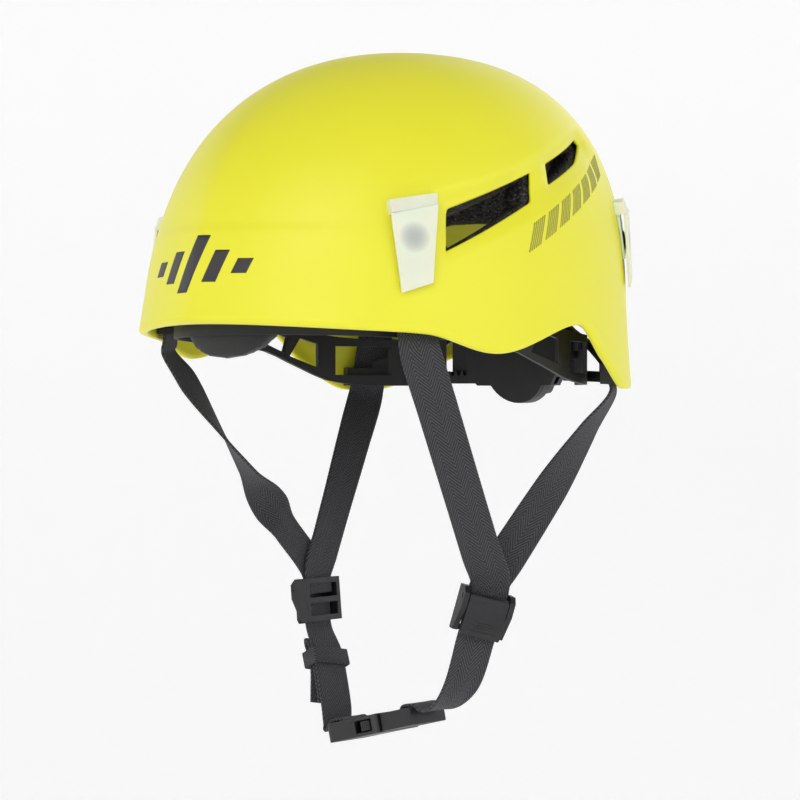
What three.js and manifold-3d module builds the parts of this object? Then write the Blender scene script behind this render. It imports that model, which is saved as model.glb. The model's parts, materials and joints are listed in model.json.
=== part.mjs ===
// Climbing helmet with a hard shell, a foam liner, a sized headband and a four-point chin harness.
// Units are millimetres. +Z is up, -Y is the front and +X is the wearer's left. The origin is at the
// centre of the head, level with the headband.
import * as THREE from 'three';
import { mergeVertices } from 'three/addons/utils/BufferGeometryUtils.js';
import Module from 'manifold-3d';

const wasm = await Module();
wasm.setup();

// ---- driving dimensions -------------------------------------------------------------------------

// Shell: an oval dome whose section shrinks and moves back as it rises.
const SHELL_HALF_WIDTH = 111.5;
const SHELL_HALF_LENGTH = 139;
const SHELL_TOP = 179.5;
const SHELL_WALL = 2.6;
const DOME_BASE = 4;
const DOME_SIDE_POWER = 3.05;
const DOME_CROWN_POWER = 2.34;
const CROWN_SETBACK = 19;
const CROWN_SETBACK_POWER = 1.42;
const RIM_BEAD = 1.2;
const RIM_BEAD_HEIGHT = 7;
const RIM_FLARE = 4.5;
const RIM_FLARE_START = 52;
// Rim height against the angle from the front: brow, side dip, ear arch, rear lobe, nape notch.
const RIM_HEIGHTS = [
  [0, 37], [45, 33.4], [57, 31.8], [73, 23], [98, 38], [108, 21.5],
  [121, 6.8], [127, 6.8], [148, 24.6], [157, 29.5], [172, 43.5], [180, 46],
];
const SHELL_COLUMNS = 60;
const SHELL_ROWS = 10;

// Vents, as outlines seen from the side: [y, z].
const FRONT_VENT = [[-62, 69.7], [-8.4, 96.1], [-2, 112.9], [-56, 92.3]];
const REAR_VENT = [[10.6, 106.5], [43.2, 121.2], [61.3, 132.6], [56.7, 135.8], [13.9, 119.2]];
const VENT_LIP = 0.9;

// Foam liner and comfort pads.
const LINER_GAP = 0.8;
const LINER_THICKNESS = 18;
const LINER_SIDE_BOTTOM = 66;
const LINER_REAR_BOTTOM = 104;
const LINER_COLUMNS = 36;
const LINER_ROWS = 6;
const CROWN_PAD_RADIUS = 36;
const CROWN_PAD_THICKNESS = 5;
const BROW_PAD_HALF_WIDTH = 31;
const BROW_PAD_THICKNESS = 6;
const BROW_PAD_BOTTOM = 19.5;
const BROW_PAD_TOP = 46;

// Headband: a hoop hung inside the shell, with a toothed strip at each rear end.
const BAND_SIDE_CLEARANCE = 29.5;
const BAND_FRONT_CLEARANCE = 23;
const BAND_REAR_CLEARANCE = 29;
const BAND_FRONT_POWER = 2.6;
const BAND_WALL = 2.2;
const BAND_END_ANGLE = 33;
const BAND_LOW = [[0, 8], [60, 8], [78, 10], [95, 17.5], [118, 27.5], [180, 31]];
const BAND_HIGH = [[0, 34], [60, 34], [95, 38], [118, 44], [180, 46]];
const BAND_WINDOWS = [
  [[46, 14], [77, 14], [77, 30], [46, 30]],
  [[12, 24], [34, 18], [34, 31], [20, 34]],
  [[-12, 32], [7, 26], [10, 34], [-8, 39]],
];

// Size strips and the pinion between them.
const STRIP_THICKNESS = 2;
const STRIP_TRAVEL = 8.4;
const STRIP_INNER_END = 11;
const STRIP_OUTER_END = 48;
const STRIP_BACK = 4.4;
const GEAR_MODULE = 1.15;
const PINION_TEETH = 8;
const PINION_HEIGHT = 20;
const PINION_BACKLASH = 0.35;
const TOOTHED_ANGLE = 34;

// Nape unit: inner cradle, outer cover with its two arms, and the size dial.
const NAPE_HALF_WIDTH_TOP = 34.5;
const NAPE_HALF_WIDTH_LOW = 31;
const NAPE_TOP = 50;
const NAPE_SHOULDER = 10;
const NAPE_WALL = 2.2;
const DIAL_RADIUS = 19.5;
const DIAL_DEPTH = 9;
const DIAL_LOBES = 12;
const DIAL_SHAFT_RADIUS = 3.6;
const DIAL_GUARD = 2.2;
const ARM_THICKNESS = 2.4;

// Headlamp clips, each held by a rivet that also anchors the harness inside the shell.
const CLIP_TOP_WIDTH = 25.4;
const CLIP_TIP_WIDTH = 15.4;
const CLIP_ABOVE = 24;
const CLIP_BELOW = 23;
const CLIP_RAKE = 2.5;
const CLIP_CREASE = 14.5;
const CLIP_PROUD = 5;
const CLIP_TIP_PROUD = 2.4;
const TONGUE_THICKNESS = 1.5;
const CLIP_FLANGE = 0.7;
const RIVET_HEAD_RADIUS = 5;
const RIVET_SHANK_RADIUS = 2.3;
const HANGER_THICKNESS = 2;
const HANGER_HALF_WIDTH = 13.5;
const WASHER_THICKNESS = 0.9;
const CORNER_CURVE = 80;
const CORNERS = [
  { name: 'front_left', side: 1, angle: 53, height: 74.5, hanger: true },
  { name: 'front_right', side: -1, angle: 53, height: 74.5, hanger: true },
  { name: 'rear_left', side: 1, angle: 129, height: 83.5, hanger: false },
  { name: 'rear_right', side: -1, angle: 129, height: 83.5, hanger: false },
];

// Harness: flat webbing, two cam adjusters and a side-release buckle.
const WEBBING_WIDTH = 20;
const WEBBING_THICKNESS = 1.6;
const ADJUSTER_INSET = 53.2;
const ADJUSTER_FORWARD = 7.3;
const ADJUSTER_DROP = 107;
const ADJUSTER_HEIGHT = 23;
const ADJUSTER_DEPTH = 9.5;
const CHEEK_THICKNESS = 2.8;
const LEVER_LENGTH = 19;
const LEVER_PIN_RADIUS = 1.5;
const BUCKLE_CENTRE = [2, -2, -166.5];
const BUCKLE_TILT = 14;
const BUCKLE_BODY_LENGTH = 39;
const BUCKLE_WIDTH = 27;
const BUCKLE_HEIGHT = 10;
const BUCKLE_WALL = 1.8;
const PLUG_LENGTH = 21;
const KEEPER_HEIGHT = 9;

// Clearances.
const FIT = 0.3;
const STACK_GAP = 0.2;
const RUNNING_GAP = 0.4;

// ---- small tools --------------------------------------------------------------------------------

const rad = THREE.MathUtils.degToRad;
const vec = (x, y, z) => new THREE.Vector3(x, y, z);
const clamp01 = (t) => Math.min(Math.max(t, 0), 1);

// Smooth curve through [angle, value] pairs that never overshoots them.
function smoothTable(table, x) {
  let i = table.findIndex((row) => row[0] >= x);
  if (i < 0) return table.at(-1)[1];
  i = Math.max(i, 1);
  const slope = (k) => {
    if (k <= 0 || k >= table.length - 1) return 0;
    const before = (table[k][1] - table[k - 1][1]) / (table[k][0] - table[k - 1][0]);
    const after = (table[k + 1][1] - table[k][1]) / (table[k + 1][0] - table[k][0]);
    return before * after <= 0 ? 0 : (2 * before * after) / (before + after);
  };
  const [x0, y0] = table[i - 1];
  const [x1, y1] = table[i];
  const h = x1 - x0;
  const t = (x - x0) / h;
  const s = 1 - t;
  return y0 * s * s * (1 + 2 * t) + y1 * t * t * (1 + 2 * s)
    + slope(i - 1) * h * t * s * s - slope(i) * h * s * t * t;
}

// Closed triangles from points and faces, turned so that they face outwards.
function closedMesh(points, faces) {
  let volume = 0;
  for (const [a, b, c] of faces) {
    volume += points[a].dot(points[b].clone().cross(points[c]));
  }
  const index = volume < 0 ? faces.flatMap(([a, b, c]) => [a, c, b]) : faces.flat();
  const geometry = new THREE.BufferGeometry();
  const flat = points.flatMap((p) => [p.x, p.y, p.z]);
  geometry.setAttribute('position', new THREE.Float32BufferAttribute(flat, 3));
  geometry.setIndex(index);
  return geometry;
}

// Triangles that close one ring of points, all turned the way the ring runs.
function capFaces(ring) {
  const normal = vec(0, 0, 0);
  ring.forEach((p, i) => normal.add(p.clone().cross(ring[(i + 1) % ring.length])));
  normal.normalize();
  const along = ring[1].clone().sub(ring[0]).projectOnPlane(normal).normalize();
  const across = normal.clone().cross(along);
  const flat = ring.map((p) => new THREE.Vector2(p.dot(along), p.dot(across)));
  return THREE.ShapeUtils.triangulateShape(flat, []).map(([a, b, c]) => {
    const turn = flat[b].clone().sub(flat[a]).cross(flat[c].clone().sub(flat[a]));
    return turn > 0 ? [a, b, c] : [a, c, b];
  });
}

// A closed solid through rings that all have the same number of points.
function loft(rings) {
  const n = rings[0].length;
  const faces = [];
  for (let i = 0; i < rings.length - 1; i += 1) {
    for (let k = 0; k < n; k += 1) {
      const a = i * n + k;
      const b = i * n + ((k + 1) % n);
      faces.push([a, b, b + n], [a, b + n, a + n]);
    }
  }
  const last = (rings.length - 1) * n;
  faces.push(...capFaces(rings[0]).map(([a, b, c]) => [a, c, b]));
  faces.push(...capFaces(rings.at(-1)).map((f) => f.map((k) => k + last)));
  return closedMesh(rings.flat(), faces);
}

function toSolid(geometry) {
  const bare = geometry.clone();
  bare.deleteAttribute('normal');
  bare.deleteAttribute('uv');
  const merged = mergeVertices(bare, 1e-4);
  return new wasm.Manifold(new wasm.Mesh({
    numProp: 3,
    vertProperties: new Float32Array(merged.attributes.position.array),
    triVerts: new Uint32Array(merged.index.array),
  }));
}

function fromSolid(solid) {
  const mesh = solid.getMesh();
  const geometry = new THREE.BufferGeometry();
  geometry.setAttribute('position', new THREE.BufferAttribute(mesh.vertProperties, 3));
  geometry.setIndex(new THREE.BufferAttribute(mesh.triVerts, 1));
  return geometry;
}

function combine(first, rest, how) {
  return fromSolid(rest.reduce((sum, g) => sum[how](toSolid(g)), toSolid(first)));
}

const cut = (body, ...tools) => combine(body, tools, 'subtract');
const join = (body, ...others) => combine(body, others, 'add');
const common = (body, ...others) => combine(body, others, 'intersect');

// A box between two opposite corners.
function box(x0, x1, y0, y1, z0, z1) {
  const geometry = new THREE.BoxGeometry(x1 - x0, y1 - y0, z1 - z0);
  return geometry.translate((x0 + x1) / 2, (y0 + y1) / 2, (z0 + z1) / 2);
}

// A prism: an outline in the YZ plane, stretched from x0 to x1.
function sidePrism(outline, x0, x1) {
  return loft([x0, x1].map((x) => outline.map(([y, z]) => vec(x, y, z))));
}

// A prism: an outline in the XZ plane, stretched from y0 to y1.
function backPrism(outline, y0, y1) {
  return loft([y0, y1].map((y) => outline.map(([x, z]) => vec(x, y, z))));
}

// A round bar from one point to another.
function bar(from, to, radius, sides = 12) {
  const geometry = new THREE.CylinderGeometry(radius, radius, from.distanceTo(to), sides);
  const turn = new THREE.Quaternion().setFromUnitVectors(vec(0, 1, 0), to.clone().sub(from).normalize());
  return geometry.applyQuaternion(turn).translate(...from.clone().add(to).multiplyScalar(0.5).toArray());
}

// A turned piece about the local Z axis, from [radius, height] points that start and end on it.
function turned(profile, sides = 20) {
  const geometry = new THREE.LatheGeometry(profile.map(([r, z]) => new THREE.Vector2(r, z)), sides);
  return geometry.rotateX(Math.PI / 2);
}

// A frame: local x, y and z directions and a place.
function frame(origin, xDirection, yDirection) {
  const x = xDirection.clone().normalize();
  const y = yDirection.clone().addScaledVector(x, -yDirection.dot(x)).normalize();
  const z = x.clone().cross(y);
  return new THREE.Matrix4().makeBasis(x, y, z).setPosition(origin);
}

// ---- shell surface ------------------------------------------------------------------------------

const rimHeight = (angle) => smoothTable(RIM_HEIGHTS, Math.abs(angle));

// Point on the dome's outside; angle is in degrees from the front, positive to the wearer's left.
function domePoint(angle, z) {
  const rise = clamp01((z - DOME_BASE) / (SHELL_TOP - DOME_BASE));
  const shrink = Math.max(1 - rise ** DOME_SIDE_POWER, 0) ** (1 / DOME_CROWN_POWER);
  const flare = RIM_FLARE * Math.max((RIM_FLARE_START - z) / RIM_FLARE_START, 0) ** 1.4;
  const x = (SHELL_HALF_WIDTH * shrink + flare) * Math.sin(rad(angle));
  const y = -(SHELL_HALF_LENGTH * shrink + flare) * Math.cos(rad(angle));
  return vec(x, y + CROWN_SETBACK * rise ** CROWN_SETBACK_POWER, z);
}

function domeNormal(angle, z) {
  const high = Math.min(z + 0.5, SHELL_TOP - 0.01);
  const around = domePoint(angle + 0.5, high - 0.5).sub(domePoint(angle - 0.5, high - 0.5));
  const up = domePoint(angle, high).sub(domePoint(angle, high - 1));
  return around.cross(up).normalize();
}

// Point at a distance inside (negative) or outside (positive) the dome's outer face.
function nearDome(angle, z, offset) {
  if (z >= SHELL_TOP - 0.01) return vec(0, CROWN_SETBACK, SHELL_TOP + offset);
  return domePoint(angle, z).addScaledVector(domeNormal(angle, z), offset);
}

// A bowl between two offsets of the dome, from a bottom edge up to the crown.
function domeBowl(columns, rows, bottom, outside, inside) {
  const points = [];
  const grid = (offset) => {
    const start = points.length;
    for (let i = 0; i < rows; i += 1) {
      for (let k = 0; k < columns; k += 1) {
        const angle = (k / columns) * 360 - 180;
        const low = bottom(angle);
        const z = low + (SHELL_TOP - low) * Math.sin((i / rows) * Math.PI / 2);
        points.push(nearDome(angle, z, offset(angle, z, low)));
      }
    }
    points.push(vec(0, CROWN_SETBACK, SHELL_TOP + offset(0, SHELL_TOP, 0)));
    return start;
  };
  const faces = [];
  const skin = (start, flip) => {
    const add = (a, b, c) => faces.push(flip ? [a, c, b] : [a, b, c]);
    for (let i = 0; i < rows; i += 1) {
      for (let k = 0; k < columns; k += 1) {
        const a = start + i * columns + k;
        const b = start + i * columns + ((k + 1) % columns);
        if (i === rows - 1) add(a, b, start + rows * columns);
        else {
          add(a, b, b + columns);
          add(a, b + columns, a + columns);
        }
      }
    }
  };
  const outer = grid(outside);
  const inner = grid(inside);
  skin(outer, false);
  skin(inner, true);
  for (let k = 0; k < columns; k += 1) {
    const next = (k + 1) % columns;
    faces.push([outer + k, inner + next, outer + next], [outer + k, inner + k, inner + next]);
  }
  return closedMesh(points, faces);
}

// The space inside an offset of the dome, used to seat pieces on it.
function domeCore(offset) {
  const ring = (z) => Array.from(
    { length: SHELL_COLUMNS }, (_, k) => nearDome((k / SHELL_COLUMNS) * 360 - 180, z, offset),
  );
  const heights = Array.from(
    { length: 13 }, (_, i) => 30 + (SHELL_TOP - 32) * Math.sin((i / 12) * Math.PI / 2),
  );
  return loft(heights.map(ring));
}

// A plate that follows the dome between two offsets, around an angle and between two heights.
function domePatch(middle, halfWidth, low, high, outer, inner, across = 4, rows = 5) {
  const rings = [];
  for (let i = 0; i <= rows; i += 1) {
    const z = low + ((high - low) * i) / rows;
    const centre = typeof middle === 'function' ? middle(z) : middle;
    const degrees = halfWidth / domePoint(centre - 0.5, z).distanceTo(domePoint(centre + 0.5, z));
    const line = (offset) => Array.from(
      { length: across + 1 }, (_, k) => nearDome(centre + degrees * ((2 * k) / across - 1), z, offset),
    );
    rings.push([...line(outer), ...line(inner).reverse()]);
  }
  return loft(rings);
}

// ---- shell, liner and pads ----------------------------------------------------------------------

const bothSides = (outline, x0, x1) => [sidePrism(outline, x0, x1), sidePrism(outline, -x1, -x0)];

// An outline drawn in towards its middle by a distance.
function inset(outline, distance) {
  const middle = outline.reduce((sum, p) => sum.add(new THREE.Vector2(...p)), new THREE.Vector2());
  middle.divideScalar(outline.length);
  return outline.map((p) => {
    const arm = new THREE.Vector2(...p).sub(middle);
    arm.setLength(arm.length() - distance);
    return arm.add(middle).toArray();
  });
}

// Where a corner's clip and rivet stand on the shell.
function cornerFrame({ side, angle, height }) {
  const normal = domeNormal(side * angle, height);
  const across = vec(0, 0, 1).cross(normal);
  return frame(domePoint(side * angle, height), across, normal.clone().cross(across));
}

function rivetHole(corner, radius, from, to) {
  const place = cornerFrame(corner);
  return bar(vec(0, 0, from).applyMatrix4(place), vec(0, 0, to).applyMatrix4(place), radius);
}

function outerShell() {
  const bead = (angle, z, low) => RIM_BEAD * clamp01(1 - (z - low) / RIM_BEAD_HEIGHT);
  const bowl = domeBowl(
    SHELL_COLUMNS, SHELL_ROWS, rimHeight, () => 0, (a, z, low) => -SHELL_WALL - bead(a, z, low),
  );
  const reach = SHELL_HALF_WIDTH + 10;
  const vents = [FRONT_VENT, REAR_VENT].flatMap((v) => bothSides(v, SHELL_HALF_WIDTH / 3, reach));
  const holes = CORNERS.map((corner) => rivetHole(corner, RIVET_SHANK_RADIUS + FIT, 4, -8));
  return cut(bowl, ...vents, ...holes);
}

// How far inside the shell's outer face the harness webbing lies at a corner.
const hangerFace = -(SHELL_WALL + RIM_BEAD + FIT);
const hangerBack = hangerFace - HANGER_THICKNESS;
// Flat webbing on a curved wall stands off it by the depth of its chord.
const CHORD_SAG = WEBBING_WIDTH ** 2 / (8 * CORNER_CURVE);
function webbingOffset(corner) {
  const seat = corner.hanger ? hangerBack : -(SHELL_WALL + STACK_GAP);
  return seat - CHORD_SAG - FIT - WEBBING_THICKNESS / 2;
}
const washerTop = (corner) => webbingOffset(corner) - WEBBING_THICKNESS / 2 - STACK_GAP;

const linerOutside = -(SHELL_WALL + LINER_GAP);
const linerBottom = (angle) => {
  const back = clamp01((Math.abs(angle) - 118) / 30);
  const brow = clamp01((50 - Math.abs(angle)) / 30);
  const rise = (LINER_REAR_BOTTOM - LINER_SIDE_BOTTOM) * back * back * (3 - 2 * back);
  return LINER_SIDE_BOTTOM + rise + 6 * brow;
};

function foamLiner() {
  const bowl = domeBowl(
    LINER_COLUMNS, LINER_ROWS, linerBottom, () => linerOutside, () => linerOutside - LINER_THICKNESS,
  );
  const reach = SHELL_HALF_WIDTH + 10;
  const outlines = [FRONT_VENT, REAR_VENT].map((v) => inset(v, VENT_LIP));
  const vents = outlines.flatMap((v) => bothSides(v, SHELL_HALF_WIDTH / 3, reach));
  const pockets = CORNERS.map((corner) => {
    const depth = washerTop(corner) - 5;
    const half = HANGER_HALF_WIDTH + 2;
    return domePatch(
      corner.side * corner.angle, half, LINER_SIDE_BOTTOM - 12, corner.height + 18, 2, depth, 4, 4,
    );
  });
  return cut(bowl, ...vents, ...pockets);
}

const linerCrown = SHELL_TOP + linerOutside - LINER_THICKNESS;

function crownPad() {
  const follow = (r) => domeSag(r) + FIT;
  const under = [0, 0.35, 0.7, 1].map((t) => [
    t * CROWN_PAD_RADIUS, linerCrown - follow(t * CROWN_PAD_RADIUS) - CROWN_PAD_THICKNESS,
  ]);
  const over = [1, 0.7, 0.35, 0].map((t) => [
    t * (CROWN_PAD_RADIUS - 1), linerCrown - follow(t * CROWN_PAD_RADIUS),
  ]);
  return turned([...under, ...over], 28).translate(0, CROWN_SETBACK, 0);
}

// How far the liner's inner face falls below its crown at a distance from the centre.
function domeSag(radius) {
  const depth = -linerOutside + LINER_THICKNESS;
  let z = SHELL_TOP - 0.02;
  while (z > SHELL_TOP / 2 && Math.abs(nearDome(90, z, -depth).x) < radius) z -= 0.5;
  return Math.max(SHELL_TOP - depth - nearDome(90, z, -depth).z, 0) + 0.9;
}

// ---- headband and nape unit ---------------------------------------------------------------------

// The band's middle line in plan, from the rear round to the front. The rear half is part of a
// circle, so that the toothed strips can slide along it.
const BAND_RADIUS = SHELL_HALF_WIDTH - BAND_SIDE_CLEARANCE;
const BAND_REAR = SHELL_HALF_LENGTH - BAND_REAR_CLEARANCE;
const BAND_CENTRE_Y = BAND_REAR - BAND_RADIUS;
const BAND_FRONT_LENGTH = SHELL_HALF_LENGTH - BAND_FRONT_CLEARANCE + BAND_CENTRE_Y;

function bandRadius(turn) {
  const s = Math.abs(Math.sin(rad(turn)));
  const c = Math.cos(rad(turn));
  if (c >= 0) return BAND_RADIUS;
  const sum = (s / BAND_RADIUS) ** BAND_FRONT_POWER + (-c / BAND_FRONT_LENGTH) ** BAND_FRONT_POWER;
  return sum ** (-1 / BAND_FRONT_POWER);
}

// Point beside the band: turn is in degrees from the rear, positive to the wearer's left.
function bandPoint(turn, offset, z) {
  const r = bandRadius(turn) + offset;
  return vec(r * Math.sin(rad(turn)), BAND_CENTRE_Y + r * Math.cos(rad(turn)), z);
}

// A strip that follows the band between two offsets.
function bentStrip(from, to, steps, outer, inner, low, high) {
  const rings = [];
  for (let i = 0; i <= steps; i += 1) {
    const turn = from + ((to - from) * i) / steps;
    const z0 = typeof low === 'function' ? low(turn) : low;
    const z1 = typeof high === 'function' ? high(turn) : high;
    rings.push([
      bandPoint(turn, outer, z0), bandPoint(turn, outer, z1),
      bandPoint(turn, inner, z1), bandPoint(turn, inner, z0),
    ]);
  }
  return loft(rings);
}

const pitchRadius = (GEAR_MODULE * PINION_TEETH) / 2;
const lowerPitch = PINION_HEIGHT - pitchRadius - PINION_BACKLASH;
const upperPitch = PINION_HEIGHT + pitchRadius + PINION_BACKLASH;
const toothTip = GEAR_MODULE;
const toothRoot = 1.25 * GEAR_MODULE;
const stripFace = STRIP_THICKNESS / 2;
// The right strip's teeth point up below the pinion; the left strip's point down above it.
const STRIPS = {
  right: { side: -1, teeth: 1, pitch: lowerPitch },
  left: { side: 1, teeth: -1, pitch: upperPitch },
};
const stripEdge = ({ teeth, pitch }) => pitch - teeth * (toothRoot + STRIP_BACK);
const stripTip = ({ teeth, pitch }) => pitch + teeth * toothTip;

// The slot that a strip runs in, with its running clearance.
function stripChannel(strip, from, to) {
  const z = [stripEdge(strip), stripTip(strip)].sort((a, b) => a - b);
  const side = stripFace + RUNNING_GAP;
  return bentStrip(
    strip.side * from, strip.side * to, 14, side, -side, z[0] - RUNNING_GAP, z[1] + RUNNING_GAP,
  );
}

const bandInner = stripFace + RUNNING_GAP + FIT;

function headband() {
  const end = BAND_END_ANGLE;
  const low = (turn) => smoothTable(BAND_LOW, Math.min(turn, 360 - turn));
  const high = (turn) => smoothTable(BAND_HIGH, Math.min(turn, 360 - turn));
  const hoop = bentStrip(end, 360 - end, 48, bandInner + BAND_WALL, bandInner, low, high);
  const sleeves = Object.values(STRIPS).map((strip) => {
    const z = [stripEdge(strip), stripTip(strip)].sort((a, b) => a - b);
    const wall = RUNNING_GAP + 1.5;
    const depth = -(stripFace + RUNNING_GAP + 1.4);
    return bentStrip(
      strip.side * end, strip.side * (end + 5), 2, bandInner + 0.5, depth, z[0] - wall, z[1] + wall,
    );
  });
  const channels = Object.values(STRIPS).map((strip) => stripChannel(strip, end - 3, end + 8));
  const windows = BAND_WINDOWS.flatMap((w) => bothSides(w, BAND_RADIUS / 2, SHELL_HALF_WIDTH));
  return cut(join(hoop, ...sleeves), ...channels, ...windows);
}

function sizeStrip(strip) {
  const pitch = (Math.PI * GEAR_MODULE) / BAND_RADIUS / rad(1);
  const outer = strip.side * STRIP_OUTER_END;
  const inner = -strip.side * STRIP_INNER_END;
  const edge = stripEdge(strip);
  const root = strip.pitch - strip.teeth * toothRoot;
  const body = bentStrip(
    inner, outer, 16, stripFace, -stripFace, Math.min(edge, root), Math.max(edge, root),
  );
  const teeth = [];
  // A tooth gap faces the pinion at rest, so teeth stand at odd half pitches.
  for (let turn = pitch / 2; turn < TOOTHED_ANGLE; turn += pitch) {
    for (const way of [1, -1]) {
      if (way < 0 && turn > STRIP_INNER_END - pitch / 2) continue;
      const at = strip.side * way * turn;
      const ring = (z, half) => [
        bandPoint(at - half, stripFace, z), bandPoint(at + half, stripFace, z),
        bandPoint(at + half, -stripFace, z), bandPoint(at - half, -stripFace, z),
      ];
      const sink = root - strip.teeth * 0.3;
      teeth.push(loft([
        ring(sink, pitch * 0.36), ring(root, pitch * 0.36), ring(stripTip(strip), pitch * 0.1),
      ]));
    }
  }
  return join(body, ...teeth);
}

// Outline of the nape unit from behind: wide at the top, with a round bowl below the dial.
function napeOutline(grow) {
  const bowl = DIAL_RADIUS + DIAL_GUARD + grow;
  const points = [
    [NAPE_HALF_WIDTH_TOP + grow, NAPE_TOP + grow],
    [NAPE_HALF_WIDTH_LOW + grow, NAPE_SHOULDER + 4],
    [NAPE_HALF_WIDTH_LOW - 5 + grow, NAPE_SHOULDER - 2 - grow],
  ];
  const start = Math.asin(clamp01((PINION_HEIGHT - NAPE_SHOULDER + 2 + grow) / bowl));
  for (let i = 0; i <= 8; i += 1) {
    const angle = -start - ((Math.PI / 2 - start) * i) / 8;
    points.push([bowl * Math.cos(angle), PINION_HEIGHT + bowl * Math.sin(angle)]);
  }
  const mirrored = points.slice(0, -1).reverse().map(([x, z]) => [-x, z]);
  return [...points, ...mirrored];
}

const napeTurn = 32;
const cavityInner = -(stripFace + RUNNING_GAP);
const cavityOuter = stripFace + RUNNING_GAP + 1.2;

function napeCradle() {
  const plate = bentStrip(
    -napeTurn, napeTurn, 16, cavityInner, cavityInner - NAPE_WALL, -20, NAPE_TOP + 10,
  );
  const outline = backPrism(napeOutline(0), 0, BAND_REAR + 20);
  return cut(common(plate, outline), ...napeScrewHoles());
}

// One arm of the cover: a bent triangular frame from the nape unit out to the rear strap.
function napeArm(side) {
  const strap = rearStrapGuide(side);
  const turn = THREE.MathUtils.radToDeg(Math.asin((NAPE_HALF_WIDTH_LOW - FIT) / BAND_RADIUS));
  const start = bandPoint(side * turn, cavityOuter + NAPE_WALL / 2, 0);
  const rings = [];
  for (let i = 0; i <= 6; i += 1) {
    const t = i / 6;
    const at = start.clone().lerp(vec(strap.x, strap.y, 0), t);
    at.y += 3.5 * Math.sin(Math.PI * t);
    const along = vec(strap.x - start.x, strap.y - start.y, 0).normalize();
    const out = vec(along.y, -along.x, 0).multiplyScalar((side * ARM_THICKNESS) / 2);
    const low = NAPE_SHOULDER + 0.5 - 1.5 * t;
    const high = 43 - (43 - strap.z - 9) * t ** 0.8;
    rings.push([
      at.clone().add(out).setZ(low), at.clone().add(out).setZ(high),
      at.clone().sub(out).setZ(high), at.clone().sub(out).setZ(low),
    ]);
  }
  const window = [[0.22, 16], [0.72, 15], [0.72, 19], [0.22, 33]].map(([t, z]) => [
    start.x + (strap.x - start.x) * t, z,
  ]);
  return cut(loft(rings), backPrism(window, 0, BAND_REAR + 40));
}

function napeCover() {
  const back = cavityOuter + NAPE_WALL;
  const block = bentStrip(-napeTurn, napeTurn, 16, back, cavityInner + FIT, -20, NAPE_TOP + 10);
  const hollow = bentStrip(-napeTurn, napeTurn, 16, cavityOuter, cavityInner - 1, -20, NAPE_TOP + 10);
  const inside = common(hollow, backPrism(napeOutline(-NAPE_WALL), 0, BAND_REAR + 40));
  const channels = Object.values(STRIPS).flatMap((strip) => [
    stripChannel(strip, 5, napeTurn + 4), stripChannel(strip, -5, -STRIP_INNER_END - STRIP_TRAVEL - 2),
  ]);
  const body = common(block, backPrism(napeOutline(0), 0, BAND_REAR + 40));
  const shaft = bar(
    vec(0, BAND_REAR - 10, PINION_HEIGHT), vec(0, BAND_REAR + 20, PINION_HEIGHT),
    DIAL_SHAFT_RADIUS + RUNNING_GAP, 24,
  );
  const bosses = napeScrewPlaces().map(([x, z]) => common(
    block, bar(vec(x, BAND_REAR - 20, z), vec(x, BAND_REAR + 20, z), 3, 12),
  ));
  const shell = join(cut(body, inside), ...bosses);
  const arms = [1, -1].flatMap((side) => [napeArm(side), rearStrapLoop(side)]);
  const slots = [1, -1].map(rearStrapSlot);
  return cut(join(shell, ...arms), ...channels, shaft, ...napeScrewHoles(), ...slots);
}

const napeScrewHoles = () => napeScrewPlaces().map(([x, z]) => bar(
  vec(x, 0, z), vec(x, BAND_REAR + 20, z), 1.1 + RUNNING_GAP, 10,
));
const napeScrewPlaces = () => [
  [-NAPE_HALF_WIDTH_TOP + 10, NAPE_TOP - 7], [NAPE_HALF_WIDTH_TOP - 10, NAPE_TOP - 7],
];

// The outside face of the cover at the dial's axis.
const coverFace = BAND_REAR + cavityOuter + NAPE_WALL;
const dialFloor = coverFace + FIT;

// Ring of points for the dial's grip or its detent notches.
function lobedRing(radius, depth, lobes, steps) {
  return Array.from({ length: lobes * steps }, (_, i) => {
    const angle = (i / (lobes * steps)) * Math.PI * 2;
    const r = radius - depth * (0.5 - 0.5 * Math.cos(angle * lobes));
    return [r * Math.cos(angle), r * Math.sin(angle)];
  });
}

function sizeDial() {
  const outer = lobedRing(DIAL_RADIUS, 1.6, DIAL_LOBES, 5);
  const inner = lobedRing(DIAL_RADIUS - 4.2, 0.8, DIAL_LOBES, 5);
  const plate = (ring, y0, y1, taper = 1) => loft([
    ring.map(([x, z]) => vec(x, y0, z)), ring.map(([x, z]) => vec(x * taper, y1, z * taper)),
  ]);
  const cup = cut(
    plate(outer, dialFloor, dialFloor + DIAL_DEPTH, 0.94),
    plate(inner, dialFloor - 1, dialFloor + DIAL_DEPTH - 3),
  );
  const hubStart = vec(0, coverFace - NAPE_WALL + FIT, 0);
  const hub = bar(hubStart, vec(0, dialFloor + DIAL_DEPTH - 2, 0), DIAL_SHAFT_RADIUS, 20);
  const bore = bar(vec(0, coverFace - 10, 0), vec(0, dialFloor + DIAL_DEPTH + 1, 0), 1.5, 12);
  const recess = bar(
    vec(0, dialFloor + DIAL_DEPTH - 2, 0), vec(0, dialFloor + DIAL_DEPTH + 1, 0), 3.4, 16,
  );
  return cut(join(cup, hub), bore, recess).translate(0, 0, PINION_HEIGHT);
}

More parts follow.
